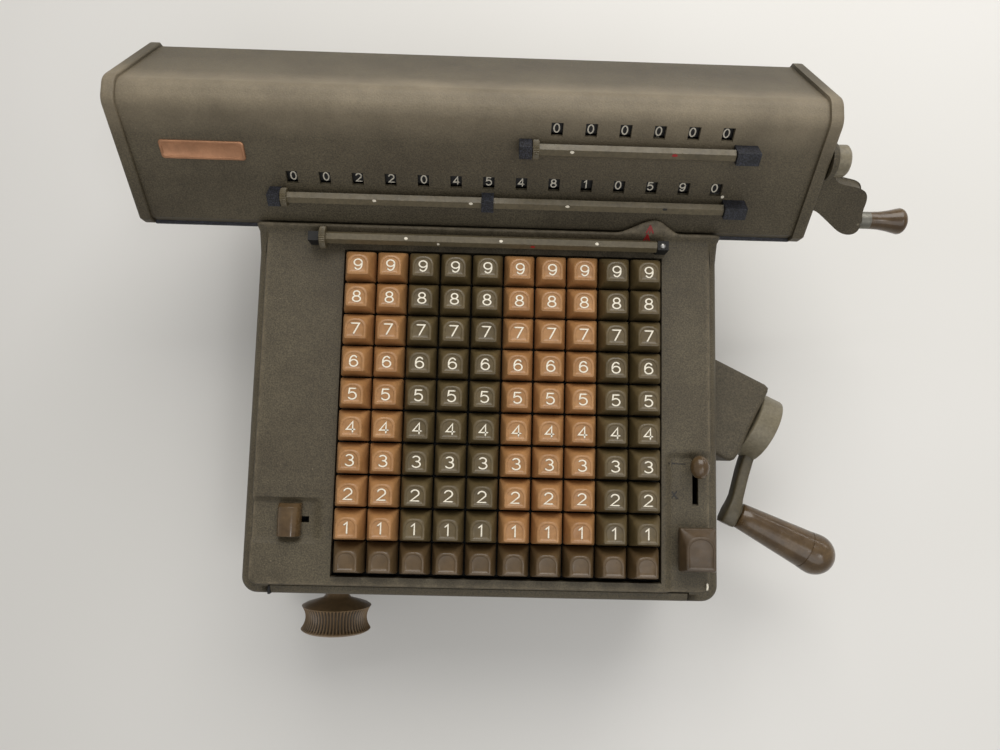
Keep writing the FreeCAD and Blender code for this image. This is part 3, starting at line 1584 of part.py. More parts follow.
# The clearing crank's arm seen square on, as shares of its reach outwards and of its length.
CLEAR_ARM_OUTLINE = (
    (0.0, 0.25),
    (0.12, 0.25),
    (0.14, -0.02),
    (0.42, -0.26),
    (0.72, -0.37),
    (0.86, -0.5),
    (0.9, -0.8),
    (0.93, -1.15),
    (0.72, -1.15),
    (0.14, -0.7),
    (0.0, -0.6),
)


def make_clearing_crank():
    """A broad arm with its hub and shaft, spread outwards from the hub to the handle."""
    body = new_body("clear_crank_arm")
    hub, thick, wide = size("clear_hub_thick"), size("clear_arm_thick"), size("clear_arm_wide") / 2
    long, joggle = size("clear_arm_long"), size("clear_arm_joggle")
    start = new_sketch(body, "YZ_Plane")
    circle(start, (0, 0), size("clear_hub_wide") / 2)
    pad(body, start, hub)
    arm = new_sketch(body, "XY_Plane", -wide)
    outer = joggle + thick
    loop(arm, [(outer * out, long * along) for out, along in CLEAR_ARM_OUTLINE])
    pad(body, arm, wide * 2)
    reach = size("clear_collar")
    collar = new_sketch(body, "YZ_Plane", outer - reach)
    circle(collar, (-long, 0), size("clear_grip_root") / 2)
    pad(body, collar, reach)
    pin = new_sketch(body, "YZ_Plane", outer - OVER)
    circle(pin, (-long, 0), size("clear_pin_wide") / 2)
    pad(body, pin, size("clear_grip_long") * size("clear_bore_share"))
    shaft = new_sketch(body, "YZ_Plane", OVER)
    circle(shaft, (0, 0), size("clear_shaft_wide") / 2)
    pad(body, shaft, size("end_plate_thick") + OVER * 3, reverse=True)
    turn = FreeCAD.Rotation(Vector(1, 0, 0), number("clear_arm_angle"))
    place(body, clear_point(0, 0), turn)
    keep(body, "clear_crank_arm")
    make_clearing_grip(outer)


def make_clearing_grip(outer):
    """A bell-shaped handle on its pin."""
    body = new_body("clear_crank_grip")
    long, root, end = size("clear_grip_long"), size("clear_grip_root") / 2, size("clear_grip_end") / 2
    bore = size("clear_pin_wide") / 2 + size("running_gap")
    deep = long * size("clear_bore_share")
    side = new_sketch(body, "XZ_Plane")
    dome = end * size("clear_grip_dome")
    top = [(long - dome + dome * sine(as_size(turn)), end * cosine(as_size(turn)))
           for turn in turns(90, 0, int(number("dome_steps")))]
    top[0] = (long, 0)
    waisted = [(long * size("clear_grip_swell"), root), (0, root)]
    loop(side, [(0, bore), (deep, bore), (deep, 0)] + top + waisted)
    revolve(body, side, "H_Axis")
    place(body, clear_point(outer + size("fit_gap"), size("clear_arm_long")))
    keep(body, "clear_crank_grip")


def check_and_write():
    """Stop on any failed object, then write each piece to its own file."""
    document.recompute()
    failed = [item.Name for item in document.Objects if {"Invalid", "Error"} & set(item.State)]
    bad = [piece.Label for piece in PIECES if piece.Shape.isNull() or not piece.Shape.isValid()]
    if failed or bad:
        raise RuntimeError(f"failed objects {failed}, bad shapes {bad}")
    os.makedirs("parts", exist_ok=True)
    for piece in PIECES:
        piece.Shape.exportStep(f"parts/{piece.Label}.step")
    print(len(PIECES), "pieces written")


def main():
    make_base_pan()
    make_feet()
    make_top_cover()
    make_front_panel()
    make_side_frames()
    make_rear_bridge()
    make_key_plate()
    make_rails()
    make_keys()
    make_function_lever()
    make_mode_lever()
    make_crank_housing()
    make_crank_arm()
    make_crank_grip()
    make_crank_shaft()
    make_drive_shaft()
    make_gear_train()
    make_main_shaft()
    make_rotors()
    make_shift_knob()
    make_shift_train()
    make_carriage_cover()
    make_end_plates()
    solid("carriage_frame", make_carriage_frame())
    make_dials()
    make_sight_bars()
    make_clearing_crank()
    check_and_write()


main()
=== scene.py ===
import json
from math import atan2, cos, hypot, pi, radians, sin, sqrt

import bmesh
import bpy
from mathutils import Matrix, Vector, noise

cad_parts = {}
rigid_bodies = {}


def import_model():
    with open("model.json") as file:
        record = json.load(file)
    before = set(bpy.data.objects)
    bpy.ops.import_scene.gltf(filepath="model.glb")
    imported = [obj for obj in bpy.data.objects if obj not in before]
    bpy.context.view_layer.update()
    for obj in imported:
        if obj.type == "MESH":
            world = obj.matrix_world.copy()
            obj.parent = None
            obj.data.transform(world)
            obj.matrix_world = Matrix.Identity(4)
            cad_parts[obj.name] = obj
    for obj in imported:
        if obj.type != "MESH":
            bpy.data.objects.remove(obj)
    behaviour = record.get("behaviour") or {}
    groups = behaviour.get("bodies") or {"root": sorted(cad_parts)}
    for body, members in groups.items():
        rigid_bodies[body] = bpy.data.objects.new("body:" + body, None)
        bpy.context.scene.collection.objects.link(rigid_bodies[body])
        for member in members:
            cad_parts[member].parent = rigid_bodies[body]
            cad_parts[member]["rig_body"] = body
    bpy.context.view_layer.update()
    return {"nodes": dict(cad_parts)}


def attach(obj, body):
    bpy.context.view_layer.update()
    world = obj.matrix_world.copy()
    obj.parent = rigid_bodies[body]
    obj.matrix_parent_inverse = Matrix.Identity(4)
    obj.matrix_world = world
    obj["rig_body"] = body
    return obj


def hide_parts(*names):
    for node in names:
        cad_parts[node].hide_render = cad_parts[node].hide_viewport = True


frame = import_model()

# Lengths are in millimetres about the middle of the keyboard: X right, Y back, Z up from the table.
MM = 0.001
SHIFT = Vector((-11.18, -29.5, 0.0))
BODY_LEFT = -125.5
BODY_RIGHT = 110.5
SHOULDER = 104.5
PANEL = 108.5
PANEL_BOX = (-120.5, 105.5, -93.0, 84.0)
PANEL_ROLL = 1.5
PANEL_CORNER = 5.0
RECESS = 2.0
GRID_STEP = 1.5
RIDGE_BACK = 86.5
RIDGE_CREST = 112.0
POINTER_PEAK = 76.0
POINTER_REACH = 5.6
POINTER_RISE = 3.4
PITCH = 16.0
KEY_TOP = 119.0
KEY_BACK = 1.0
CLEAR_ROW_DROP = 2.5
BIG_KEY_PLACE = (97.4, -71.5, 119.2)
FUNCTION_KNOB = (-101.5, -61.5)
MODE_KNOB = (98.1, -31.5)
KNOB_FOOT = 107.2
SHIFT_AXIS = Vector((-88.6, 0.0, 44.0))
FLUTES = 60
CRANK_AXIS = Vector((143.25, -8.1, 62.0))
CRANK_TURN = radians(-26.0)
CRANK_OUT = Vector((cos(CRANK_TURN), sin(CRANK_TURN), 0.0))
CRANK_DOWN = Vector((sin(CRANK_TURN), -cos(CRANK_TURN), 0.0))
CRANK_REACH = 48.5
CLEAR_AXIS = Vector((154.8, 118.5, 133.0))
CLEAR_TURN = radians(50.0)
CLEAR_REACH = 32.7
SLOPE = radians(49.1)
FACE_FRONT = 88.3
FACE_LOW = 108.0
DIAL_RADIUS = 9.0
DIAL_DEEP = 11.8
DIAL_FLATS = 10
RESULT_UP = (104.3 - FACE_FRONT) / cos(SLOPE)
RESULT_LEFT = -104.6
COUNTER_UP = RESULT_UP + 28.6
COUNTER_LEFT = 22.6
ACTIVE_DIAL = 3
BAR_RADIUS = 3.0
JOURNAL_RADIUS = 1.5
JOURNAL_LONG = 3.6
KEYBOARD_BAR = (78.3, 114.5)


# Materials.
class Shade:
    """A node material in the object's own coordinates, with short ways to add nodes to it."""

    def __init__(self, name):
        self.material = bpy.data.materials.new(name)
        self.material.use_nodes = True
        self.nodes = self.material.node_tree.nodes
        self.link = self.material.node_tree.links.new
        self.shader = self.nodes["Principled BSDF"]
        self.place = self.nodes.new("ShaderNodeTexCoord").outputs["Object"]

    def cloud(self, scale, detail=3.0, rough=0.6, place=None):
        made = self.nodes.new("ShaderNodeTexNoise")
        made.inputs["Scale"].default_value = scale
        made.inputs["Detail"].default_value = detail
        made.inputs["Roughness"].default_value = rough
        self.link(self.place if place is None else place, made.inputs["Vector"])
        return made.outputs["Fac"]

    def cells(self, scale):
        made = self.nodes.new("ShaderNodeTexVoronoi")
        made.inputs["Scale"].default_value = scale
        self.link(self.place, made.inputs["Vector"])
        return made.outputs["Distance"]

    def painted(self, name):
        """A value that the mesh carries at each point."""
        made = self.nodes.new("ShaderNodeAttribute")
        made.attribute_name = name
        return made

    def share(self, axis, low, high):
        """How far a point lies from low to high along an axis, from nothing to one."""
        split = self.nodes.new("ShaderNodeSeparateXYZ")
        self.link(self.place, split.inputs["Vector"])
        made = self.nodes.new("ShaderNodeMapRange")
        made.inputs["From Min"].default_value = low
        made.inputs["From Max"].default_value = high
        self.link(split.outputs[axis], made.inputs["Value"])
        return made.outputs["Result"]

    def ramp(self, source, *stops):
        """A colour ramp; each stop is a place and a colour or a grey level."""
        made = self.nodes.new("ShaderNodeValToRGB")
        elements = made.color_ramp.elements
        while len(elements) < len(stops):
            elements.new(0.5)
        for element, (place, colour) in zip(elements, stops):
            grey = (colour,) * 3 if isinstance(colour, float) else colour
            element.position = place
            element.color = (*grey, 1.0)
        self.link(source, made.inputs["Fac"])
        return made.outputs["Color"]

    def mix(self, amount, first, second, blend="MIX"):
        made = self.nodes.new("ShaderNodeMix")
        made.data_type = "RGBA"
        made.blend_type = blend
        for index, value in ((0, amount), (6, first), (7, second)):
            if isinstance(value, bpy.types.NodeSocket):
                self.link(value, made.inputs[index])
            elif isinstance(value, float):
                made.inputs[index].default_value = value
            else:
                made.inputs[index].default_value = (*value, 1.0)
        return made.outputs[2]

    def multiply(self, first, second, amount=1.0):
        return self.mix(amount, first, second, "MULTIPLY")

    def bump(self, height, distance, strength, below=None):
        made = self.nodes.new("ShaderNodeBump")
        made.inputs["Distance"].default_value = distance * MM
        made.inputs["Strength"].default_value = strength
        self.link(height, made.inputs["Height"])
        if below is not None:
            self.link(below, made.inputs["Normal"])
        self.feed("Normal", made.outputs["Normal"])
        return made.outputs["Normal"]

    def feed(self, name, source):
        self.link(source, self.shader.inputs[name])

    def fix(self, name, value):
        self.shader.inputs[name].default_value = value


def srgb(red, green, blue):
    """A colour given in 0 to 255 as the eye reads it."""
    return tuple(((part / 255 + 0.055) / 1.055) ** 2.4 if part > 10 else part / 3294.6
                 for part in (red, green, blue))


def crinkle_paint(name, dark, light, worn, dust_and_top_light=0.0):
    """Wrinkle-finish paint: fine bumps, broad stains, pale specks, rubbed edges with a painted edge
    highlight, and dust with painted light high up.
    """
    made = Shade(name)
    fine = made.cloud(1500.0, 4.0)
    cells = made.cells(1100.0)
    broad = made.cloud(26.0, 6.0, 0.7)
    tone = made.ramp(broad, (0.3, dark), (0.62, light))
    tone = made.multiply(tone, made.ramp(fine, (0.36, 0.58), (0.64, 1.36)))
    specks = made.ramp(made.cloud(900.0, 2.0, 0.5), (0.66, 0.0), (0.74, 1.0))
    patches = made.ramp(made.cloud(60.0), (0.45, 0.0), (0.7, 0.35))
    tone = made.mix(made.multiply(specks, patches), tone, worn)
    broken = made.ramp(made.cloud(250.0), (0.35, 0.2), (0.65, 1.0))
    # Paler where the wear attribute is set: rubbed paint, and a painted highlight along the panel's edge.
    tone = made.mix(made.multiply(made.painted("wear_and_edge_highlight").outputs["Color"], broken), tone, worn)
    # Paler towards the top: dust, with painted light on the carriage's ridge.
    if dust_and_top_light:
        dust_and_light_film = made.ramp(made.share("Z", 0.124, 0.153), (0.0, 0.0), (0.6, dust_and_top_light * 0.25), (0.93, dust_and_top_light))
        dust_and_light_film = made.multiply(dust_and_light_film, made.ramp(broad, (0.3, 0.55), (0.7, 1.0)))
        tone = made.mix(dust_and_light_film, tone, worn)
    made.feed("Base Color", tone)
    made.feed("Roughness", made.ramp(fine, (0.3, 0.5), (0.7, 0.66)))
    made.fix("Specular IOR Level", 0.4)
    below = made.bump(cells, 0.16, 0.45)
    made.bump(fine, 0.18, 0.6, below)
    return made.material


def plastic(name, dark, light, rough, grime):
    """Aged moulded plastic with faint flow marks, dirt in patches, painted shade in its grooves, and a
    soft gloss.
    """
    made = Shade(name)
    tone = made.ramp(made.cloud(70.0, 4.0), (0.3, dark), (0.7, light))
    dirt = made.ramp(made.cloud(420.0, 3.0, 0.7), (0.3, grime), (0.62, 1.0))
    tone = made.multiply(tone, dirt, 0.5)
    # Darker in grooves: painted shade.
    deep = made.ramp(made.painted("groove_shade").outputs["Fac"], (0.25, 1.0), (0.75, 0.22))
    made.feed("Base Color", made.multiply(tone, deep))
    made.feed("Roughness", made.ramp(made.cloud(180.0), (0.3, rough), (0.75, rough + 0.16)))
    made.fix("Specular IOR Level", 0.5)
    made.bump(made.cloud(900.0, 2.0, 0.5), 0.012, 0.5)
    return made.material


def enamel(name, dark, light, rough=0.38):
    """Smooth stoved enamel with a faint orange peel."""
    made = Shade(name)
    tone = made.ramp(made.cloud(45.0, 4.0), (0.3, dark), (0.7, light))
    scuffs = made.ramp(made.cloud(520.0, 4.0, 0.7), (0.35, 0.78), (0.6, 1.08))
    made.feed("Base Color", made.multiply(tone, scuffs))
    made.feed("Roughness", made.ramp(made.cloud(240.0), (0.3, rough), (0.7, rough + 0.14)))
    made.bump(made.cloud(700.0, 2.0, 0.5), 0.03, 0.4)
    return made.material


def metal(name, colour, rough=0.3, stretch=(1.0, 1.0, 1.0)):
    """Machined metal with drawn-out tool marks and dull patches."""
    made = Shade(name)
    drawn = made.nodes.new("ShaderNodeMapping")
    drawn.inputs["Scale"].default_value = stretch
    made.link(made.place, drawn.inputs["Vector"])
    marks = made.cloud(900.0, place=drawn.outputs["Vector"])
    dark = tuple(part * 0.6 for part in colour)
    made.feed("Base Color", made.ramp(made.cloud(60.0, 4.0), (0.3, dark), (0.65, colour)))
    made.feed("Roughness", made.ramp(marks, (0.3, rough), (0.7, rough + 0.2)))
    made.fix("Metallic", 1.0)
    made.bump(marks, 0.01, 0.5)
    return made.material


def pebbled(name, dark, light):
    """Black wrinkle paint with a coarse pebble and a blue cast."""
    made = Shade(name)
    cells = made.cells(1300.0)
    tone = made.ramp(cells, (0.1, light), (0.6, dark))
    cast = made.ramp(made.cloud(260.0), (0.35, 0.6), (0.7, 1.3))
    made.feed("Base Color", made.multiply(tone, cast))
    made.fix("Roughness", 0.53)
    made.bump(cells, 0.3, 0.8)
    return made.material


def ink(name, colour):
    """Paint filled into engraved figures, thin and a little uneven."""
    made = Shade(name)
    worn = tuple(part * 0.78 for part in colour)
    thin = made.cloud(1400.0)
    made.feed("Base Color", made.ramp(thin, (0.28, worn), (0.5, colour)))
    made.fix("Roughness", 0.5)
    made.bump(thin, 0.01, 0.4)
    return made.material


PAINT = crinkle_paint("crinkle_paint", srgb(69, 61, 46), srgb(83, 75, 58), srgb(150, 136, 112))
# The carriage paint turns paler high up: dust with painted light on its ridge.
CARRIAGE_PAINT = crinkle_paint("carriage_paint", srgb(69, 61, 46), srgb(83, 75, 58),
                               srgb(162, 148, 124), 0.5)
HOUSING_PAINT = crinkle_paint("housing_paint", srgb(66, 59, 44), srgb(82, 74, 58), srgb(150, 136, 112))
PAN_PAINT = enamel("pan_paint", srgb(44, 41, 36), srgb(58, 54, 47), 0.5)
TAN = plastic("tan_plastic", srgb(152, 109, 66), srgb(174, 129, 83), 0.32, 0.62)
OLIVE = plastic("olive_plastic", srgb(82, 69, 43), srgb(99, 84, 55), 0.34, 0.55)
BROWN = plastic("brown_plastic", srgb(80, 63, 40), srgb(98, 78, 52), 0.27, 0.6)
KNOB = plastic("knob_plastic", srgb(70, 53, 33), srgb(98, 78, 52), 0.15, 0.55)
BIG_KEY = plastic("big_key_plastic", srgb(64, 50, 32), srgb(84, 66, 44), 0.34, 0.6)
# A lighter copy of the knob plastic: painted light on the shift knob, which sits in the body's shade.
DULL_BROWN_LIT = plastic("fluted_plastic_lit", srgb(108, 87, 60), srgb(136, 112, 82), 0.34, 0.6)
DULL_METAL = metal("dull_metal", (0.22, 0.21, 0.18), 0.42)
ARM = enamel("arm_enamel", srgb(72, 64, 46), srgb(86, 78, 59))
HUB = enamel("hub_enamel", srgb(108, 100, 80), srgb(124, 115, 94))
BAR = enamel("bar_enamel", srgb(84, 75, 55), srgb(99, 89, 67), 0.4)
GAP_BLACK = enamel("gap_black", srgb(14, 13, 12), srgb(24, 22, 20), 0.6)
BLOCK = pebbled("pebbled_black", srgb(22, 23, 28), srgb(52, 54, 66))
DIAL = enamel("dial_black", srgb(18, 17, 16), srgb(28, 26, 24), 0.45)
WHITE = ink("figure_white", srgb(232, 224, 205))
RED = ink("mark_red", srgb(150, 26, 24))
DARK_INK = ink("worn_black", srgb(34, 30, 25))
STEEL = metal("turned_steel", (0.5, 0.49, 0.47))
FRAME_STEEL = metal("sheet_steel", (0.38, 0.37, 0.35), 0.4, (1.0, 0.2, 1.0))
BRASS = metal("gear_brass", (0.6, 0.45, 0.22), 0.34)
COPPER = metal("copper_plaque", (0.62, 0.33, 0.19), 0.42)
RUBBER = enamel("foot_rubber", srgb(28, 27, 26), srgb(40, 38, 36), 0.75)


# Building pieces.
def finish_mesh(name, bm, materials, sharp=35.0):
    """Turn a bmesh drawn in millimetres into an object with soft shading between sharp edges."""
    for vertex in bm.verts:
        vertex.co = (vertex.co + SHIFT) * MM
    mesh = bpy.data.meshes.new(name)
    bm.to_mesh(mesh)
    bm.free()
    for material in materials:
        mesh.materials.append(material)
    mesh.polygons.foreach_set("use_smooth", [True] * len(mesh.polygons))
    mesh.set_sharp_from_angle(angle=radians(sharp))
    made = bpy.data.objects.new(name, mesh)
    bpy.context.scene.collection.objects.link(made)
    return made


def settle(made, node):
    """Let a piece stand for a CAD node and move with the node's body."""
    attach(made, frame["nodes"][node]["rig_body"])
    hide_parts(node)
    return made


def trim(made, body):
    """Let an added detail move with a body."""
    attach(made, body)
    return made


def bevel(made, width, segments=2):
    added = made.modifiers.new("Bevel", "BEVEL")
    added.width = width * MM
    added.segments = segments
    added.limit_method = "ANGLE"
    added.angle_limit = radians(30.0)
    added.harden_normals = True
    return made


def weigh(made):
    """Let large flat faces keep their own shading."""
    added = made.modifiers.new("Weighted", "WEIGHTED_NORMAL")
    added.keep_sharp = True
    added.weight = 100
    return made


def copy_of(node):
    """A clean bmesh copy of a CAD node in millimetres, with its flat faces merged."""
    bm = bmesh.new()
    bm.from_mesh(frame["nodes"][node].data)
    bmesh.ops.remove_doubles(bm, verts=bm.verts, dist=0.002 * MM)
    bmesh.ops.dissolve_limit(bm, angle_limit=radians(0.5), verts=bm.verts, edges=bm.edges)
    for vertex in bm.verts:
        vertex.co = vertex.co / MM - SHIFT
    return bm


def dress(node, width=0.0, segments=2, sharp=35.0, material=CARRIAGE_PAINT):
    """A painted CAD piece with softened edges."""
    made = finish_mesh(f"{node}_skin", copy_of(node), [material], sharp)
    settle(made, node)
    if width:
        bevel(made, width, segments)
    weigh(made)


def face_out(bm):
    bmesh.ops.recalc_face_normals(bm, faces=bm.faces)


def bridge(bm, lower, upper, closed=True):
    count = len(lower)
    for index in range(count if closed else count - 1):
        after = (index + 1) % count
        bm.faces.new((lower[index], lower[after], upper[after], upper[index]))


def loft(bm, rings, first_end=True):
    """Skin a row of rings, with a face over its last end and, if asked, over its first."""
    if first_end:
        bm.faces.new(rings[0][::-1])
    for lower, upper in zip(rings, rings[1:]):
        bridge(bm, lower, upper)
    bm.faces.new(rings[-1])


def rounded_outline(half_x, half_y, front_round, back_round, steps=5):
    """Corner points of a rounded rectangle, anticlockwise from the left of its front."""
    points = []
    corners = ((-1, -1, 180, front_round), (1, -1, 270, front_round),
               (1, 1, 0, back_round), (-1, 1, 90, back_round))
    for side_x, side_y, start, radius in corners:
        for step in range(steps + 1):
            turn = radians(start + 90 * step / steps)
            x = side_x * (half_x - radius) + radius * cos(turn)
            y = side_y * (half_y - radius) + radius * sin(turn)
            points.append((x, y))
    return points


def lathe(bm, profile, steps, origin, axis, flute=None, material=0):
    """Turn a profile of distances along the axis and radii into a closed skin."""
    axis = Vector(axis).normalized()
    side = axis.orthogonal().normalized()
    up = axis.cross(side)
    rings = []
    for along, radius in profile:
        if radius < 1e-6:
            rings.append([bm.verts.new(Vector(origin) + axis * along)])
            continue
        ring = []
        for step in range(steps):
            turn = 2 * pi * step / steps
            swing = radius + (flute(along, turn) if flute else 0.0)
            ring.append(bm.verts.new(Vector(origin) + axis * along
                                     + (side * cos(turn) + up * sin(turn)) * swing))
        rings.append(ring)
    for lower, upper in zip(rings, rings[1:]):
        for step in range(steps):
            after = (step + 1) % steps
            corners = [lower[step % len(lower)], lower[after % len(lower)],
                       upper[after % len(upper)], upper[step % len(upper)]]
            seen = list(dict.fromkeys(corners))
            if len(seen) > 2:
                bm.faces.new(seen).material_index = material
    return rings


def arc(x, y, wide, tall, start, end, steps=14):
    """Points of an arc; its angles are in degrees from the right, anticlockwise."""
    turns = [radians(start + (end - start) * step / steps) for step in range(steps + 1)]
    return [(x + wide * cos(turn), y + tall * sin(turn)) for turn in turns]


def dome(start, long, wide, first, step):
    """The round end of a turned profile, from an angle in degrees to its tip."""
    turns = [radians(turn) for turn in range(first, 90, step)]
    return [(start + long * sin(turn), wide * cos(turn)) for turn in turns] + [(start + long, 0.0)]


# Figures as strokes in a box about 4 wide and 6 high.
FIGURES = {
    0: [arc(0, 0, 1.85, 2.9, 90, 450, 20)],
    1: [[(-1.15, 1.55), (0.25, 2.9), (0.25, -2.9)]],
    2: [arc(0, 1.15, 1.8, 1.75, 165, -28) + [(-1.9, -2.85), (1.95, -2.85)]],
    3: [arc(-0.05, 1.45, 1.65, 1.45, 150, -80), arc(0, -1.35, 1.9, 1.55, 95, -155)],
    4: [[(0.9, -2.9), (0.9, 2.8), (-2.0, -1.35), (2.0, -1.35)]],
    5: [[(1.55, 2.85), (-1.3, 2.85), (-1.55, 0.35)] + arc(-0.05, -1.0, 1.9, 1.9, 128, -150)],
    6: [arc(0, -1.1, 1.85, 1.8, 90, 450, 18), arc(0, -0.1, 1.85, 2.95, 198, 42, 12)],
    7: [[(-1.9, 2.85), (1.9, 2.85), (-0.7, -2.9)]],
    8: [arc(0, 1.5, 1.5, 1.4, 90, 450, 16), arc(0, -1.4, 1.85, 1.5, 90, 450, 18)],
    9: [arc(0, 1.1, 1.85, 1.8, 90, 450, 18), arc(0, 0.1, 1.85, 2.95, 18, -138, 12)],
}


def ribbon(bm, points, width, put, material=0):
    """A flat stroke with round ends; put turns a flat point into a place in space."""
    flat = [Vector(point) for point in points]
    half = width / 2
    closed = (flat[0] - flat[-1]).length < 1e-4
    sides = []
    for index, point in enumerate(flat):
        before = flat[index - 1] if index else (flat[-2] if closed else point)
        after = flat[index + 1] if index < len(flat) - 1 else (flat[1] if closed else point)
        first = (point - before).normalized() if (point - before).length else (after - point).normalized()
        second = (after - point).normalized() if (after - point).length else first
        middle = first + second
        middle = middle.normalized() if middle.length > 1e-6 else first
        across = Vector((-middle.y, middle.x))
        reach = half / max(0.5, across.dot(Vector((-first.y, first.x))))
        sides.append((point + across * reach, point - across * reach))
    left = [bm.verts.new(put(*pair[0])) for pair in sides]
    right = [bm.verts.new(put(*pair[1])) for pair in sides]
    for index in range(len(flat) - 1):
        face = bm.faces.new((right[index], right[index + 1], left[index + 1], left[index]))
        face.material_index = material
    if closed:
        return
    for end, inner, one, other in ((0, 1, left[0], right[0]), (-1, -2, right[-1], left[-1])):
        way = (flat[end] - flat[inner]).normalized()
        start = atan2(way.y, way.x) - pi / 2
        cap = [bm.verts.new(put(flat[end].x + half * cos(start + pi * step / 6),
                                flat[end].y + half * sin(start + pi * step / 6)))
               for step in range(1, 6)]
        bm.faces.new([other] + cap + [one]).material_index = material


def figure(bm, digit, put, size, width):
    """A digit in the second material, each stroke a hair above the one before."""
    for index, stroke in enumerate(FIGURES[digit]):
        def lay(px, py, rise=index * 0.015):
            return put(px, py, rise)
        ribbon(bm, [(x * size, y * size) for x, y in stroke], width, lay, 1)


def turn_up(bm):
    """Turn the faces of the figures upwards."""
    bm.normal_update()
    wrong = [face for face in bm.faces if face.material_index == 1 and face.normal.z < 0]
    bmesh.ops.reverse_faces(bm, faces=wrong)


# Keys.
def add_key(bm, x, y, top, digit=None, base=(7.6, 7.6), face=(5.05, 4.85), tall=13.0, forward=0.95):
    """A skirt, flat flanks and a tombstone face whose rim stands round a dished middle."""
    low = top - tall
    across, deep = base
    wide, long = face
    back = wide * 0.92
    levels = (
        (low, across - 0.3, deep - 0.3, 0.7, 0.7, 0.0),
        (low + 0.3, across, deep, 0.9, 0.9, 0.0),
        (low + 3.4, across, deep, 0.9, 0.9, 0.0),
        (low + 3.9, across - 0.12, deep - 0.12, 0.8, 0.8, 0.0),
        (low + tall * 0.5, across * 0.8 + wide * 0.2, deep * 0.8 + long * 0.2, 0.75, 1.5, 0.2),
        (top - 0.55, wide + 0.28, long + 0.28, 0.7, back - 0.6, 0.95),
        (top - 0.2, wide + 0.1, long + 0.1, 0.75, back - 0.3, 1.0),
        (top, wide - 0.2, long - 0.2, 0.8, back - 0.4, 1.0),
        (top, wide - 0.85, long - 0.85, 0.7, back - 0.9, 1.0),
        (top - 0.3, wide - 1.2, long - 1.2, 0.6, back - 1.2, 1.0),
        (top - 0.42, wide - 2.2, long - 2.2, 0.5, back - 2.0, 1.0),
    )
    rings = []
    for z, half_x, half_y, front_round, back_round, lean in levels:
        outline = rounded_outline(half_x, half_y, front_round, min(back_round, half_x - 0.05))
        rings.append([bm.verts.new((x + px, y - forward * lean + py, z)) for px, py in outline])
    loft(bm, rings)
    if digit is not None:
        def put(px, py, rise):
            return (x + px * 1.05, y - forward - 0.1 + py * 0.92, top - 0.27 + rise)
        figure(bm, digit, put, 0.98, 0.68)


def make_keys():
    """Ten columns of number keys, the clear key of each, and the wide clear key."""
    for column in range(10):
        x = (column - 4.5) * PITCH
        tan = column in (0, 1, 5, 6, 7)
        bm = bmesh.new()
        for row in range(1, 10):
            add_key(bm, x, (row - 5) * PITCH + KEY_BACK, KEY_TOP, row)
        turn_up(bm)
        node = f"key_column_{column + 1:02d}"
        made = finish_mesh(f"{node}_caps", bm, [TAN if tan else OLIVE, WHITE], 32.0)
        settle(made, node)
        bm = bmesh.new()
        add_key(bm, x, -5 * PITCH + KEY_BACK, KEY_TOP - CLEAR_ROW_DROP)
        node = f"column_clear_key_{column + 1:02d}"
        settle(finish_mesh(f"{node}_cap", bm, [BROWN], 32.0), node)
    bm = bmesh.new()
    add_key(bm, *BIG_KEY_PLACE, None, (8.9, 10.4), (6.9, 7.9), 9.0, 1.2)
    settle(finish_mesh("keyboard_clear_key_cap", bm, [BIG_KEY], 32.0), "keyboard_clear_key")


# Levers.
def make_levers():
    """The half-round function knob and the ball of the mode lever."""
    bm = bmesh.new()
    x, y = FUNCTION_KNOB
    half, tall, wall = 5.6, 7.0, 2.2
    rings = []
    for along, share in ((-7.9, 0.97), (-7.7, 1.0), (5.0, 1.0), (6.2, 0.97), (7.9, 0.62)):
        section = [(-half, 0.0), (half, 0.0)]
        section += arc(0.0, wall * share, half, (tall - wall) * share, 0, 180, 16)
        rings.append([bm.verts.new((x + px, y + along, KNOB_FOOT + pz)) for px, pz in section])
    loft(bm, rings)
    face_out(bm)
    made = finish_mesh("function_lever_knob", bm, [KNOB], 40.0)
    bevel(settle(made, "function_lever"), 0.5, 3)
    bm = bmesh.new()
    x, y = MODE_KNOB
    profile = [(0.0, 0.0), (0.0, 2.2), (3.0, 2.3), (4.2, 2.9)] + dome(7.5, 4.5, 4.5, -45, 9)
    lathe(bm, profile, 40, (x, y, KNOB_FOOT), (0, 0, 1))
    for vertex in bm.verts:
        vertex.co.x = x + (vertex.co.x - x) * 1.04
        vertex.co.y = y + (vertex.co.y - y) * 1.26
    face_out(bm)
    settle(finish_mesh("mode_lever_knob", bm, [KNOB], 50.0), "mode_lever")


# Cover.
def smooth_step(value, low, high):
    share = min(1.0, max(0.0, (value - low) / (high - low)))
    return share * share * (3 - 2 * share)


def panel_drop(x, y):
    """How far the panel lies below its flat at a point: the two soft recesses."""
    left = smooth_step(y, -73.0, -69.8) * (1 - smooth_step(y, -52.8, -50.8))
    left *= 1 - smooth_step(x, -91.0, -85.0)
    right = smooth_step(x, 82.8, 86.0) * (1 - smooth_step(y, -26.8, -24.6))
    return RECESS * max(left, right)


HOLES = (
    (-80.75, 80.75, -88.5, 74.0),
    (-104.5, -92.5, -63.0, -60.0),
    (96.6, 99.6, -50.5, -27.6),
    (95.1, 99.7, -72.8, -70.2),
)


def in_hole(point, room=0.0):
    return any(left - room < point.x < right + room and front - room < point.y < back + room
               for left, right, front, back in HOLES)


def make_cover():
    bm = copy_of("top_cover")
    high = [face for face in bm.faces if max(vertex.co.z for vertex in face.verts) > SHOULDER + 0.6]
    bmesh.ops.delete(bm, geom=high, context="FACES")
    add_panel(bm)
    add_ridge(bm)
    made = finish_mesh("top_cover_skin", bm, [PAINT], 40.0)
    mark_wear_and_edge_highlight(made)
    weigh(settle(made, "top_cover"))


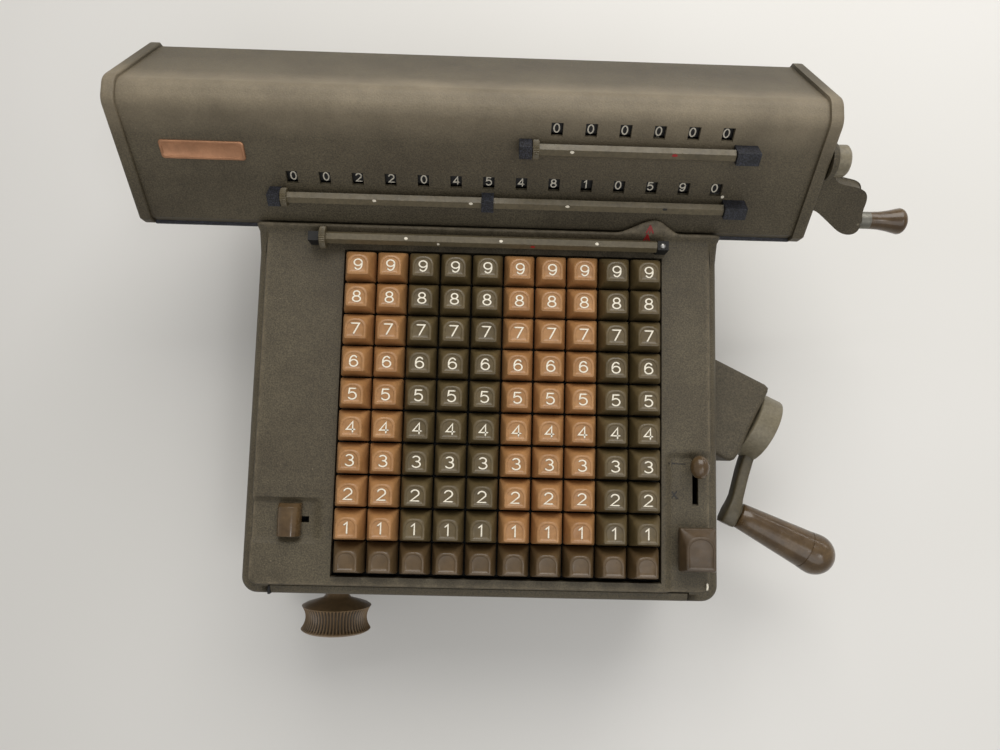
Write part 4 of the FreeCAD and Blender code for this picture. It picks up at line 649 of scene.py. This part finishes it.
def add_panel(bm):
    """The raised panel: its flat cut into a fine grid, its holes and its rolled edge."""
    left, right, front, back = PANEL_BOX
    part = bmesh.new()
    centre_x, centre_y = (left + right) / 2, (front + back) / 2
    half_x, half_y = (right - left) / 2 - PANEL_ROLL, (back - front) / 2 - PANEL_ROLL
    outline = rounded_outline(half_x, half_y, PANEL_CORNER - PANEL_ROLL, 0.01, 6)
    part.faces.new([part.verts.new((centre_x + x, centre_y + y, PANEL)) for x, y in outline])
    cuts_x = [left + GRID_STEP * step for step in range(1, int((right - left) / GRID_STEP) + 1)]
    cuts_y = [front + GRID_STEP * step for step in range(1, int((back - front) / GRID_STEP) + 1)]
    for hole in HOLES:
        cuts_x += hole[:2]
        cuts_y += hole[2:]
    for cuts, way in ((cuts_x, Vector((1, 0, 0))), (cuts_y, Vector((0, 1, 0)))):
        for cut in sorted(cuts):
            bmesh.ops.bisect_plane(part, geom=part.verts[:] + part.edges[:] + part.faces[:],
                                   dist=0.0005, plane_co=way * cut, plane_no=way)
    dead = [face for face in part.faces if in_hole(face.calc_center_median())]
    bmesh.ops.delete(part, geom=dead, context="FACES")
    rim = [edge for edge in part.edges if edge.is_boundary]
    inner = [edge for edge in rim if all(in_hole(vertex.co, 0.01) for vertex in edge.verts)]
    outer = [edge for edge in rim if edge not in inner]
    for vertex in part.verts:
        vertex.co.z = PANEL - panel_drop(vertex.co.x, vertex.co.y)
    grow_down(part, inner, SHOULDER - 0.5)
    turns = [radians(step) for step in (22.5, 45, 67.5, 90)]
    steps = [(PANEL_ROLL * sin(turn), -PANEL_ROLL * (1 - cos(turn))) for turn in turns]
    core = (left + PANEL_CORNER, right - PANEL_CORNER, front + PANEL_CORNER, back - 0.01)
    roll_edge(part, outer, steps, core)
    merge_into(bm, part)


def mark_wear_and_edge_highlight(made):
    """Note at each point how much paler the paint is made: a painted highlight with wear along the
    panel's edge, and rubbing at the ridge's crest.
    """
    worn = made.data.attributes.new("wear_and_edge_highlight", "FLOAT", "POINT")
    for index, vertex in enumerate(made.data.vertices):
        place = vertex.co / MM - SHIFT
        # A thin pale line along the panel's rolled edge: a painted highlight with wear.
        across = max(-119.0 - place.x, place.x - 104.0, -91.5 - place.y)
        near = 1 - min(1.0, abs(across - 0.6) / 0.9)
        if place.z < SHOULDER + 1.5 or place.y > 80.0:
            near = 0.0
        crest = smooth_step(place.z, 111.0, 112.5) * 0.45 if place.y > 80.0 else 0.0
        worn.data[index].value = max(0.34 * near, crest)


def grow_down(part, edges, level):
    """Carry the edges of the holes straight down to a level."""
    grown = bmesh.ops.extrude_edge_only(part, edges=edges)["geom"]
    for item in grown:
        if isinstance(item, bmesh.types.BMVert):
            item.co.z = level


def roll_edge(part, edges, steps, core):
    """Carry an outer edge outwards and down over a quarter round, then down to the shoulder."""
    left, right, front, back = core
    away = {}
    for edge in edges:
        for vertex in edge.verts:
            near = Vector((min(right, max(left, vertex.co.x)), min(back, max(front, vertex.co.y)), 0))
            way = Vector((vertex.co.x, vertex.co.y, 0)) - near
            away[vertex] = way.normalized() if way.length > 1e-3 else Vector((0, 1, 0))
    base = {vertex: vertex.co.copy() for vertex in away}
    current = {vertex: vertex for vertex in away}
    pairs = [(edge.verts[0], edge.verts[1]) for edge in edges]
    for out, drop in steps + [(steps[-1][0] + 0.05, None)]:
        fresh = {}
        for vertex in away:
            place = base[vertex] + away[vertex] * out
            place.z = base[vertex].z + drop if drop is not None else SHOULDER - 0.3
            fresh[vertex] = part.verts.new(place)
        for one, other in pairs:
            part.faces.new((current[one], current[other], fresh[other], fresh[one]))
        current = fresh


def merge_into(bm, part):
    face_out(part)
    mesh = bpy.data.meshes.new("part")
    part.to_mesh(mesh)
    part.free()
    bm.from_mesh(mesh)
    bpy.data.meshes.remove(mesh)


def pointer_share(x):
    """The pointer's height along the ridge, from nothing to one at its peak."""
    reach = 20.0 if x < POINTER_PEAK else 13.5
    share = max(0.0, 1 - abs(x - POINTER_PEAK) / reach)
    return share * share * (3 - 2 * share)


def add_ridge(bm):
    """The rolled ridge behind the keyboard bar, with its leaning pointer."""
    part = bmesh.new()
    ends = (0.0, 0.4, 1.0, 2.0, 3.5, 5.0)
    stations = [BODY_LEFT + step for step in ends] + [BODY_RIGHT - step for step in ends]
    inner = int((BODY_RIGHT - BODY_LEFT - 12) / GRID_STEP) + 1
    stations += [BODY_LEFT + 6.0 + GRID_STEP * step for step in range(inner)]
    rings = []
    for x in sorted(stations):
        edge = min(x - BODY_LEFT, BODY_RIGHT - x)
        cap = sqrt(max(0.0, 1 - max(0.0, 1 - edge / 3.0) ** 2))
        inside = smooth_step(edge, 3.5, 5.2)
        drop = 5.0 - sqrt(25.0 - max(0.0, 5.0 - edge) ** 2)
        foot = (SHOULDER - 0.15 - drop) * (1 - inside) + (PANEL - 0.02) * inside
        crown = RIDGE_CREST - 4.0 * (1 - cap)
        tall = crown - foot
        reach, rise = POINTER_REACH * pointer_share(x), POINTER_RISE * pointer_share(x)
        sweep = 8.0 * (1 - inside)
        rows = (
            (78.0 - sweep, foot - 0.3),
            (80.6 - sweep, foot),
            (82.0 - sweep * 0.6, foot + tall * (0.1 + 0.08 * (1 - inside))),
            (83.4 + reach * 0.02, foot + tall * 0.46 + rise * 0.03),
            (84.5 + reach * 0.12, foot + tall * 0.86 + rise * 0.16),
            (85.2 + reach * 0.5, crown - 0.05 + rise * 0.55),
            (85.7 + reach * 0.9, crown + rise * 0.95),
            (86.15 + reach, crown - 0.3 + rise),
            (86.45 + reach * 0.97, crown - 1.0 + rise * 0.8),
            (RIDGE_BACK + reach * 0.3, crown - 2.2 + rise * 0.1),
            (RIDGE_BACK, crown - 3.2),
            (RIDGE_BACK, 103.0),
            (RIDGE_BACK, 96.0),
        )
        rings.append([part.verts.new((x, row_y, row_z)) for row_y, row_z in rows])
    for lower, upper in zip(rings, rings[1:]):
        bridge(part, lower, upper, closed=False)
    part.faces.new(rings[0])
    part.faces.new(rings[-1][::-1])
    merge_into(bm, part)


# Turned handles and knob.
def crank_place(out, radial, rise=0.0):
    """A place on the crank: out along its axis, down its arm, and above it."""
    return CRANK_AXIS + CRANK_OUT * out + CRANK_DOWN * radial + Vector((0, 0, rise))


def slope_place(out, along, rise):
    """A place on the clearing crank: out to the right, along down the slope, and above it."""
    return CLEAR_AXIS + Vector((out, -along * cos(CLEAR_TURN) - rise * sin(CLEAR_TURN),
                                -along * sin(CLEAR_TURN) + rise * cos(CLEAR_TURN)))


def make_turned():
    """The grips of both cranks, and the shift knob."""
    bm = bmesh.new()
    profile = [(-1.7, 3.2), (-1.7, 6.5), (-1.2, 7.0)]
    profile += [(share * 45.0, 7.1 + 3.9 * share) for share in (0.1, 0.25, 0.4, 0.55, 0.7, 0.8)]
    profile += [(38.6, 10.42), (38.75, 10.2), (38.95, 10.2), (39.1, 10.5), (42.0, 10.95), (45.0, 11.2)]
    profile += dome(45.0, 11.0, 11.2, 9, 9)
    lathe(bm, profile, 64, crank_place(15.4, CRANK_REACH), CRANK_OUT)
    face_out(bm)
    settle(finish_mesh("crank_grip_turned", bm, [KNOB], 50.0), "crank_grip")
    bm = bmesh.new()
    start = slope_place(27.3, CLEAR_REACH, 0)
    profile = [(0.0, 2.06), (0.0, 4.0), (0.3, 4.3), (6.0, 4.35), (11.0, 4.6), (15.5, 5.3), (18.8, 6.1)]
    profile += [(20.6, 6.5), (21.5, 6.7)] + dome(21.5, 4.0, 6.7, 15, 12)
    lathe(bm, profile, 48, start, (1, 0, 0))
    face_out(bm)
    for face in bm.faces:
        if face.calc_center_median().x < start.x + 3.6:
            face.material_index = 1
    made = finish_mesh("clear_crank_grip_turned", bm, [KNOB, DULL_METAL], 50.0)
    settle(made, "clear_crank_grip")
    make_shift_knob()


def flute_at(along, turn):
    """Whether a place on the shift knob is on its rim, and how deep in a flute it is."""
    inside = smooth_step(along, 114.2, 114.9) * (1 - smooth_step(along, 126.4, 127.1))
    return inside, 0.5 + 0.5 * cos(FLUTES * turn)


def make_shift_knob():
    """A waisted knob with a fluted rim, with painted shade deep in its flutes."""
    bm = bmesh.new()
    rim, waist, back, front = 19.3, 17.0, 114.3, 127.0
    middle, half = (back + front) / 2, (front - back) / 2
    profile = [(98.3, 0.0), (98.3, 5.6), (104.0, 5.8), (108.5, 6.6), (110.3, 8.0), (113.3, 17.6)]
    profile.append((113.9, 18.5))
    for step in range(15):
        share = 1 - step / 7
        profile.append((middle - half * share, waist + (rim - waist) * share * share))
    profile += [(127.6, 18.7), (128.2, 17.6), (128.5, 15.5), (128.5, 0.0)]

    def flute(along, turn):
        inside, deep = flute_at(along, turn)
        return -0.85 * inside * deep ** 0.7

    axis = Vector((0, -1, 0))
    lathe(bm, profile, 480, SHIFT_AXIS, axis, flute)
    face_out(bm)
    made = finish_mesh("shift_knob_fluted", bm, [DULL_BROWN_LIT], 60.0)
    # How deep each point lies in a flute, for the painted shade.
    groove_shade = made.data.attributes.new("groove_shade", "FLOAT", "POINT")
    side = axis.orthogonal().normalized()
    up = axis.cross(side)
    for index, vertex in enumerate(made.data.vertices):
        place = vertex.co / MM - SHIFT - SHIFT_AXIS
        inside, deep = flute_at(-place.y, atan2(place.dot(up), place.dot(side)))
        groove_shade.data[index].value = inside * deep
    settle(made, "shift_knob")


def plate(bm, outline, place, half):
    """A flat plate: an outline set out by place(u, v, h) at both faces."""
    lower = [bm.verts.new(place(u, v, -half)) for u, v in outline]
    upper = [bm.verts.new(place(u, v, half)) for u, v in outline]
    bridge(bm, lower, upper)
    bm.faces.new(lower)
    bm.faces.new(upper[::-1])


def soften(outline):
    """Cut the corners of a closed outline three times over, until it flows."""
    for _ in range(3):
        cut = []
        for (x, y), (next_x, next_y) in zip(outline, outline[1:] + outline[:1]):
            cut.append((x * 0.75 + next_x * 0.25, y * 0.75 + next_y * 0.25))
            cut.append((x * 0.25 + next_x * 0.75, y * 0.25 + next_y * 0.75))
        outline = cut
    return outline


def make_housing():
    """The crank's boss: a flat-topped block with rounded corners, set on the side wall."""
    bm = bmesh.new()
    plan = [(-70.0, -20.5), (-8.0, -20.5), (-5.6, -19.6), (-5.0, -17.5), (-5.0, 21.0),
            (-5.6, 24.0), (-7.2, 25.8), (-10.0, 26.5), (-70.0, 26.5)]
    bottom, top = 38.0, 79.0
    levels = ((bottom, 1.5), (bottom + 1.5, 0.0), (top - 3.0, 0.0), (top - 1.4, 0.45),
              (top - 0.4, 1.4), (top, 3.0))
    rings = []
    for z, inset in levels:
        ring = []
        for out, radial in plan:
            spot = crank_place(out - (inset if out > -12 else 0.0), radial * (1 - inset / 23.5))
            ring.append(bm.verts.new((spot.x, spot.y, z)))
        rings.append(ring)
    loft(bm, rings)
    bmesh.ops.bisect_plane(bm, geom=bm.verts[:] + bm.edges[:] + bm.faces[:], clear_outer=True,
                           plane_co=Vector((BODY_RIGHT + 0.1, 0, 0)), plane_no=Vector((-1, 0, 0)))
    face_out(bm)
    made = finish_mesh("crank_housing_block", bm, [HOUSING_PAINT], 40.0)
    weigh(settle(made, "crank_housing"))


def make_crank():
    """A smooth disc and a slender joggled arm with a boss for the grip."""
    bm = bmesh.new()
    hub = [(-4.7, 0.0), (-4.7, 17.6), (-4.1, 18.3), (6.4, 18.5), (7.2, 18.2), (7.6, 17.4), (7.6, 0.0)]
    lathe(bm, hub, 72, crank_place(0, 0), CRANK_OUT, None, 1)
    path = ((12.0, 3.9, 3.0, 5.5), (19.0, 4.3, 3.1, 5.4), (26.0, 5.4, 3.2, 5.2), (34.0, 7.0, 3.2, 5.0),
            (40.0, 8.3, 3.2, 5.1), (44.0, 9.0, 3.6, 5.8), (49.0, 9.3, 4.0, 6.6), (54.0, 9.3, 4.1, 6.0),
            (56.2, 9.3, 3.8, 4.4))
    rings = []
    for radial, out, half_out, half_up in path:
        section = rounded_outline(half_out, half_up, 1.5, 1.5, 3)
        rings.append([bm.verts.new(crank_place(out + px, radial, pz)) for px, pz in section])
    loft(bm, rings)
    lathe(bm, [(9.0, 0.0), (9.0, 5.6), (13.2, 5.6), (13.2, 3.0), (35.0, 3.0), (35.0, 0.0)], 32,
          crank_place(0, CRANK_REACH), CRANK_OUT)
    face_out(bm)
    settle(finish_mesh("crank_arm_shaped", bm, [ARM, HUB], 35.0), "crank_arm")


def make_clear_crank():
    """A broad flowing arm, its turned hub and the ferrule at the grip."""
    bm = bmesh.new()
    outline = [(0.3, -5.0), (3.4, -4.6), (3.9, 0.0), (4.6, 7.0), (8.5, 11.0), (16.0, 12.2),
               (22.5, 13.8), (25.2, 18.0), (25.2, 26.0), (27.3, 31.0), (27.0, 38.0), (20.0, 38.0),
               (10.0, 30.0), (3.5, 25.0), (0.3, 24.0)]
    plate(bm, soften(outline), slope_place, 4.25)
    bevel_edges(bm, 1.0)
    boss = [(0.3, 0.0), (0.3, 9.4), (2.4, 9.4), (3.6, 8.4), (3.6, 0.0)]
    lathe(bm, boss, 48, slope_place(0, 0, 0), (1, 0, 0), None, 0)
    hub = [(3.4, 3.2), (3.4, 7.6), (9.2, 7.6), (10.2, 6.6), (10.2, 2.0), (9.4, 1.2), (9.4, 0.0)]
    lathe(bm, hub, 48, slope_place(0, 0, 0), (1, 0, 0), None, 1)
    lathe(bm, [(26.0, 0.0), (26.0, 4.3), (27.1, 4.3), (27.1, 1.9), (44.0, 1.9), (44.0, 0.0)], 32,
          slope_place(0, CLEAR_REACH, 0), (1, 0, 0), None, 1)
    face_out(bm)
    made = finish_mesh("clear_crank_arm_shaped", bm, [PAINT, HUB], 40.0)
    settle(made, "clear_crank_arm")


def bevel_edges(bm, width):
    """Round the rim edges of a plate."""
    bm.normal_update()
    rims = [edge for edge in bm.edges if len(edge.link_faces) == 2 and edge.calc_face_angle(0.0) > 1.0]
    bmesh.ops.bevel(bm, geom=rims, offset=width, segments=3, profile=0.5, affect="EDGES")


# Dials and figures in the carriage.
def face_point(up, out):
    """The Y and Z of a place on the carriage's sloped face: up from its front edge, and out from it."""
    y = FACE_FRONT + up * cos(SLOPE) - out * sin(SLOPE)
    z = FACE_LOW + up * sin(SLOPE) + out * cos(SLOPE)
    return y, z


def dial_figure(bm, x, up, digit, flat=0):
    """A figure on one of a dial's ten flats; flat 0 is the one behind the window."""
    centre = Vector((x, *face_point(up, -DIAL_DEEP)))
    turn = SLOPE + pi / 2 - 2 * pi * flat / DIAL_FLATS
    out = Vector((0, cos(turn), sin(turn)))
    rise = Vector((0, sin(turn), -cos(turn)))
    radius = DIAL_RADIUS * cos(pi / DIAL_FLATS) + 0.03

    def put(px, py, lift):
        return centre + Vector((px, 0, 0)) + out * (radius + lift) + rise * (py - 0.7)

    figure(bm, digit, put, 0.7, 0.62)


def make_dials():
    """The dials with their white figures; only the active one has all ten."""
    bm = copy_of("result_dials")
    for index, digit in enumerate((0, 0, 2, 2, 0, 4, 5, 4, 8, 1, 0, 5, 9, 0)):
        dial_figure(bm, RESULT_LEFT + PITCH * index, RESULT_UP, digit)
    settle(finish_mesh("result_dials_figured", bm, [DIAL, WHITE], 20.0), "result_dials")
    bm = copy_of("counter_dials")
    for index in (0, 1, 2, 4, 5):
        dial_figure(bm, COUNTER_LEFT + PITCH * index, COUNTER_UP, 0)
    settle(finish_mesh("counter_dials_figured", bm, [DIAL, WHITE], 20.0), "counter_dials")
    bm = copy_of("counter_active_dial")
    for digit in range(DIAL_FLATS):
        dial_figure(bm, COUNTER_LEFT + PITCH * ACTIVE_DIAL, COUNTER_UP, digit, digit)
    made = finish_mesh("counter_active_dial_figured", bm, [DIAL, WHITE], 20.0)
    settle(made, "counter_active_dial")


# Sight bars.
def make_bar(node, x, end, y, z, turn, marks, disc=4.5):
    """A six-sided bar with round ends, a knurled disc and coloured marks on its face."""
    bm = bmesh.new()
    corners = [(BAR_RADIUS * cos(turn + pi * side / 3), BAR_RADIUS * sin(turn + pi * side / 3))
               for side in range(6)]
    loft(bm, [[bm.verts.new((place, y + dy, z + dz)) for dy, dz in corners] for place in (x + 3.0, end)])
    thin = JOURNAL_RADIUS
    lathe(bm, [(-JOURNAL_LONG, 0.0), (-JOURNAL_LONG, thin), (0.0, thin)], 20, (x, y, z), (1, 0, 0))
    lathe(bm, [(0.0, thin), (JOURNAL_LONG, thin), (JOURNAL_LONG, 0.0)], 20, (end, y, z), (1, 0, 0))

    def knurl(along, spin):
        return 0.22 * cos(36 * spin) - 0.22 if 0.2 < along < 2.8 else 0.0

    profile = [(0.0, thin), (0.0, disc - 0.4), (0.35, disc), (2.65, disc), (3.0, disc - 0.4), (3.0, thin)]
    lathe(bm, profile, 144, (x, y, z), (1, 0, 0), knurl)
    face_out(bm)
    settle(finish_mesh(f"{node}_skin", bm, [BAR], 30.0), node)
    add_marks(node, y, z, turn, marks)


def add_marks(node, y, z, turn, marks):
    """Small paint marks: each has a place along the bar, a colour, a half length and a place across."""
    body = frame["nodes"][node]["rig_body"]
    facing = radians(90) if turn == 0.0 else SLOPE + pi / 2
    flat = BAR_RADIUS * cos(pi / 6) + 0.03
    bm = bmesh.new()
    for x, colour, long, offset in marks:
        lean = radians(60.0) if offset < -1.5 else 0.0
        out = Vector((0, cos(facing + lean), sin(facing + lean)))
        side = Vector((0, sin(facing + lean), -cos(facing + lean)))
        ring = []
        for step in range(14):
            spin = 2 * pi * step / 14
            uneven = 1 + 0.25 * noise.noise(Vector((x, 3 * cos(spin), 3 * sin(spin))))
            place = Vector((x + long * uneven * cos(spin), y, z)) + out * flat
            slide = 0.0 if lean else offset
            ring.append(bm.verts.new(place + side * (slide + 0.7 * uneven * sin(spin))))
        face = bm.faces.new(ring)
        face.normal_update()
        if face.normal.dot(out) < 0:
            face.normal_flip()
        face.material_index = colour
    trim(finish_mesh(f"{node}_marks", bm, [WHITE, RED, DARK_INK]), body)


def slim_blocks(bm, spots, share):
    """Draw the bearing blocks in towards their bars, leaving the bores as they are."""
    for vertex in bm.verts:
        y, z, tilt = min(spots, key=lambda spot: hypot(vertex.co.y - spot[0], vertex.co.z - spot[1]))
        along = (vertex.co.y - y) * cos(tilt) + (vertex.co.z - z) * sin(tilt)
        out = -(vertex.co.y - y) * sin(tilt) + (vertex.co.z - z) * cos(tilt)
        if hypot(along, out) < 2.4:
            continue
        along *= share
        if out > 0:
            out *= 0.85
        vertex.co.y = y + along * cos(tilt) - out * sin(tilt)
        vertex.co.z = z + along * sin(tilt) + out * cos(tilt)


def make_bars():
    """The three marker bars, their bearing blocks and one screw."""
    low = face_point(RESULT_UP - 8.3, 4.6)
    high = face_point(RESULT_UP + 20.6, 4.6)
    make_bar("result_bar", -110.0, 107.3, *low, SLOPE,
             ((-64.3, 0, 1.0, 0.9), (-17.1, 0, 1.0, 0.9), (30.3, 0, 1.0, 0.9), (78.3, 2, 1.2, 0.9)))
    make_bar("counter_bar", 11.5, 106.5, *high, SLOPE, ((29.8, 0, 1.0, 0.5), (77.7, 1, 1.4, 0.5)))
    make_bar("keyboard_bar", -92.0, 76.5, *KEYBOARD_BAR, 0.0,
             ((-49.1, 0, 0.9, -0.2), (-33.1, 0, 0.7, -2.3), (-1.8, 0, 0.9, -0.2), (14.2, 1, 1.2, -1.9),
              (46.2, 0, 0.9, -0.2)), 5.5)
    blocks = (
        ("bar_blocks_carriage", ((*low, SLOPE), (*high, SLOPE)), BLOCK),
        ("bar_blocks_keyboard", ((*KEYBOARD_BAR, 0.0),), GAP_BLACK),
    )
    for node, spots, material in blocks:
        bm = copy_of(node)
        slim_blocks(bm, spots, 0.78)
        made = finish_mesh(f"{node}_skin", bm, [material], 35.0)
        settle(made, node)
        weigh(bevel(made, 1.1, 3))
    bm = bmesh.new()
    lathe(bm, [(-1.5, 1.5), (0.2, 1.5), (0.75, 1.1), (1.0, 0.0)], 20, (79.3, 78.1, 117.0), (0, 0, 1))
    face_out(bm)
    trim(finish_mesh("bearing_screw", bm, [STEEL], 50.0), "frame")


# Small marks on the paint.
def make_marks():
    """The dark marks beside the mode lever and the two red arrows on the pointer."""
    bm = bmesh.new()

    def put(px, py):
        return (px, py, PANEL - panel_drop(px, py) + 0.08)

    ribbon(bm, [(84.6 + step * 0.8, -30.0) for step in range(5)], 0.7, put)
    ribbon(bm, [(86.2, -31.8), (86.2, -28.2)], 0.7, put)
    ribbon(bm, [(88.6, -30.1), (93.2, -30.2)], 0.5, put)
    ribbon(bm, [(86.2, -43.8), (88.8, -47.2)], 0.8, put)
    ribbon(bm, [(88.7, -43.9), (86.4, -47.0)], 0.7, put)
    trim(finish_mesh("scale_marks", bm, [DARK_INK]), "frame")
    bm = bmesh.new()

    def lay(px, py):
        return (px, py, ridge_height(px, py) + 0.12)

    for tip_x, tip_y, spread, deep in ((73.6, 89.2, 1.7, 3.3), (72.6, 85.2, 2.0, 3.4)):
        for side in (-1, 1):
            steps = [(tip_x + side * spread * share / 6, tip_y - deep * share / 6) for share in range(7)]
            ribbon(bm, steps, 0.75, lay)
        ribbon(bm, [(tip_x, tip_y - deep * share / 6) for share in range(1, 7)], 0.6, lay)
    face_out(bm)
    trim(finish_mesh("pointer_arrow", bm, [RED]), "frame")


def ridge_height(x, y):
    """The height of the pointer's upper side at a point."""
    reach, rise = POINTER_REACH * pointer_share(x), POINTER_RISE * pointer_share(x)
    rows = ((80.6, PANEL), (82.0, PANEL + 0.35), (83.4 + reach * 0.02, PANEL + 1.61 + rise * 0.03),
            (84.5 + reach * 0.12, PANEL + 3.0 + rise * 0.16), (85.2 + reach * 0.5, 111.95 + rise * 0.55),
            (85.7 + reach * 0.9, 112.0 + rise * 0.95), (86.15 + reach, 111.7 + rise))
    for (start, low), (end, high) in zip(rows, rows[1:]):
        if start <= y <= end:
            return low + (high - low) * (y - start) / (end - start)
    return rows[-1][1] if y > rows[-1][0] else PANEL


def make_plaque():
    """A thin blank copper plaque on the carriage's face."""
    bm = bmesh.new()
    rings = []
    for half_x, half_y, rise in ((20.0, 4.7, 0.0), (20.0, 4.7, 0.5), (19.7, 4.4, 0.8), (18.9, 3.6, 0.8),
                                 (18.6, 3.3, 0.5)):
        ring = []
        for px, py in rounded_outline(half_x, half_y, 1.6, 1.6):
            y, z = face_point(37.5 + py, rise)
            ring.append(bm.verts.new((-144.8 + px, y, z)))
        rings.append(ring)
    loft(bm, rings, False)
    face_out(bm)
    trim(finish_mesh("blank_plaque", bm, [COPPER], 40.0), "carriage")


def make_details():
    """The dark end of the front seam and the white point after the last result figure."""
    bm = bmesh.new()
    bmesh.ops.create_cube(bm, size=1.0, matrix=Matrix.Translation((-110.9, -96.0, 101.3))
                          @ Matrix.Diagonal((1.3, 4.1, 6.6, 1.0)))
    bevel(trim(finish_mesh("front_notch", bm, [GAP_BLACK]), "frame"), 0.3)
    bm = bmesh.new()

    def lay(px, py):
        return (px, py, PANEL + 0.06 if px < 104.0 else PANEL - 0.02)

    ribbon(bm, [(103.2, -91.0), (103.5, -89.6), (103.3, -88.2)], 0.9, lay)
    trim(finish_mesh("paint_chip", bm, [WHITE]), "frame")
    bm = bmesh.new()
    ring = []
    for step in range(12):
        spin = 2 * pi * step / 12
        y, z = face_point(RESULT_UP - 3.6 + 0.8 * sin(spin), 0.08)
        ring.append(bm.verts.new((107.3 + 0.8 * cos(spin), y, z)))
    bm.faces.new(ring)
    trim(finish_mesh("decimal_point", bm, [WHITE]), "carriage")


def make_strips():
    """The dark strip under the carriage's front edge and the lip along its back."""
    front = ((86.85, 100.6), (88.9, 100.6), (88.9, 102.9), (86.85, 102.3))
    back = ((176.0, 103.6), (179.0, 103.6), (179.4, 105.0), (178.6, 106.6), (176.0, 108.0))
    for name, section, start, end, material in (
        ("carriage_front_strip", front, -180.0, 149.0, BLOCK),
        ("carriage_back_lip", back, -117.5, 101.2, CARRIAGE_PAINT),
    ):
        bm = bmesh.new()
        loft(bm, [[bm.verts.new((x, y, z)) for y, z in section] for x in (start, end)])
        face_out(bm)
        made = finish_mesh(name, bm, [material], 35.0)
        bevel(trim(made, "carriage"), 0.4)


# Pieces whose CAD shape is right.
def make_dressed():
    dress("carriage_cover", sharp=20.0)
    for side in ("left", "right"):
        dress(f"carriage_end_{side}", 0.8, 3, 40.0)
    dress("front_panel", 0.5, material=PAINT)
    kept = (
        (PAN_PAINT, "base_pan"),
        (RUBBER, "feet"),
        # Near black so the gaps between the keys read dark: painted shade.
        (GAP_BLACK, "key_plate"),
        (FRAME_STEEL, "frame_left frame_right rear_bridge carriage_frame"),
        (STEEL, "carriage_rails crank_shaft drive_shaft main_shaft shift_shaft dial_axles"),
        (BRASS, "drive_gear idler_gear main_gear shift_idler pinwheel_rotors"),
    )
    for material, names in kept:
        for name in names.split():
            mesh = frame["nodes"][name].data
            mesh.materials.clear()
            mesh.materials.append(material)


# Stage.
def make_stage():
    bm = bmesh.new()
    bmesh.ops.create_grid(bm, x_segments=4, y_segments=4, size=5.0)
    mesh = bpy.data.meshes.new("floor")
    bm.to_mesh(mesh)
    bm.free()
    mesh.polygons.foreach_set("use_smooth", [True] * len(mesh.polygons))
    made = Shade("pale_floor")
    tone = made.ramp(made.cloud(3.0, 2.0, 0.5), (0.3, srgb(220, 218, 213)), (0.7, srgb(226, 224, 220)))
    # Darker towards the left: painted shade on the floor.
    shade = made.ramp(made.share("X", -0.35, 0.1), (0.0, 0.84), (1.0, 1.0))
    made.feed("Base Color", made.multiply(tone, shade))
    made.fix("Roughness", 0.6)
    mesh.materials.append(made.material)
    floor = bpy.data.objects.new("floor", mesh)
    bpy.context.scene.collection.objects.link(floor)


def make_light():
    world = bpy.data.worlds.new("studio")
    world.use_nodes = True
    world.node_tree.nodes["Background"].inputs["Color"].default_value = (1.0, 0.99, 0.97, 1.0)
    world.node_tree.nodes["Background"].inputs["Strength"].default_value = 0.42
    bpy.context.scene.world = world
    for name, spot, wide, deep, power, colour in (
        ("key_light", (0.12, 1.12, 1.18), 1.4, 1.0, 17.5, (1.0, 0.98, 0.95)),
        ("fill_light", (0.25, -0.9, 1.4), 1.3, 1.0, 5.5, (0.97, 0.98, 1.0)),
        ("side_strip", (1.0, 1.0, 0.5), 1.2, 0.08, 1.6, (1.0, 1.0, 1.0)),
        ("tube_above", (-0.1, 0.75, 1.7), 1.6, 0.05, 1.8, (1.0, 1.0, 1.0)),
        ("lamp_above", (0.72, -0.36, 1.9), 0.4, 0.16, 2.0, (1.0, 1.0, 1.0)),
    ):
        lamp = bpy.data.lights.new(name, "AREA")
        lamp.shape = "RECTANGLE"
        lamp.size = wide
        lamp.size_y = deep
        lamp.energy = power
        lamp.color = colour
        thing = bpy.data.objects.new(name, lamp)
        thing.location = spot
        thing.rotation_mode = "QUATERNION"
        thing.rotation_quaternion = (Vector(spot) - Vector((0, 0, 0.05))).to_track_quat("Z", "Y")
        thing.visible_camera = False
        bpy.context.scene.collection.objects.link(thing)


def make_camera():
    lens = bpy.data.cameras.new("camera")
    lens.sensor_width = 36.0
    lens.lens = 751.0 * 36.0 / 1000.0
    lens.clip_start = 0.01
    turn = Matrix.Rotation(-0.0259, 3, "Z") @ Matrix.Rotation(0.0176, 3, "Y")
    turn = turn @ Matrix.Rotation(-0.1058, 3, "X")
    place = turn.transposed().to_4x4()
    place.translation = Vector((-18.34, -57.245, 482.383)) * MM
    camera = bpy.data.objects.new("camera", lens)
    camera.matrix_world = place
    bpy.context.scene.collection.objects.link(camera)
    bpy.context.scene.camera = camera


make_camera()
make_stage()
make_light()
make_dressed()
make_cover()
make_keys()
make_levers()
make_turned()
make_dials()
make_bars()
make_marks()
make_plaque()
make_strips()
make_details()
make_housing()
make_crank()
make_clear_crank()

bpy.context.scene.view_settings.view_transform = "Standard"
bpy.context.view_layer.update()
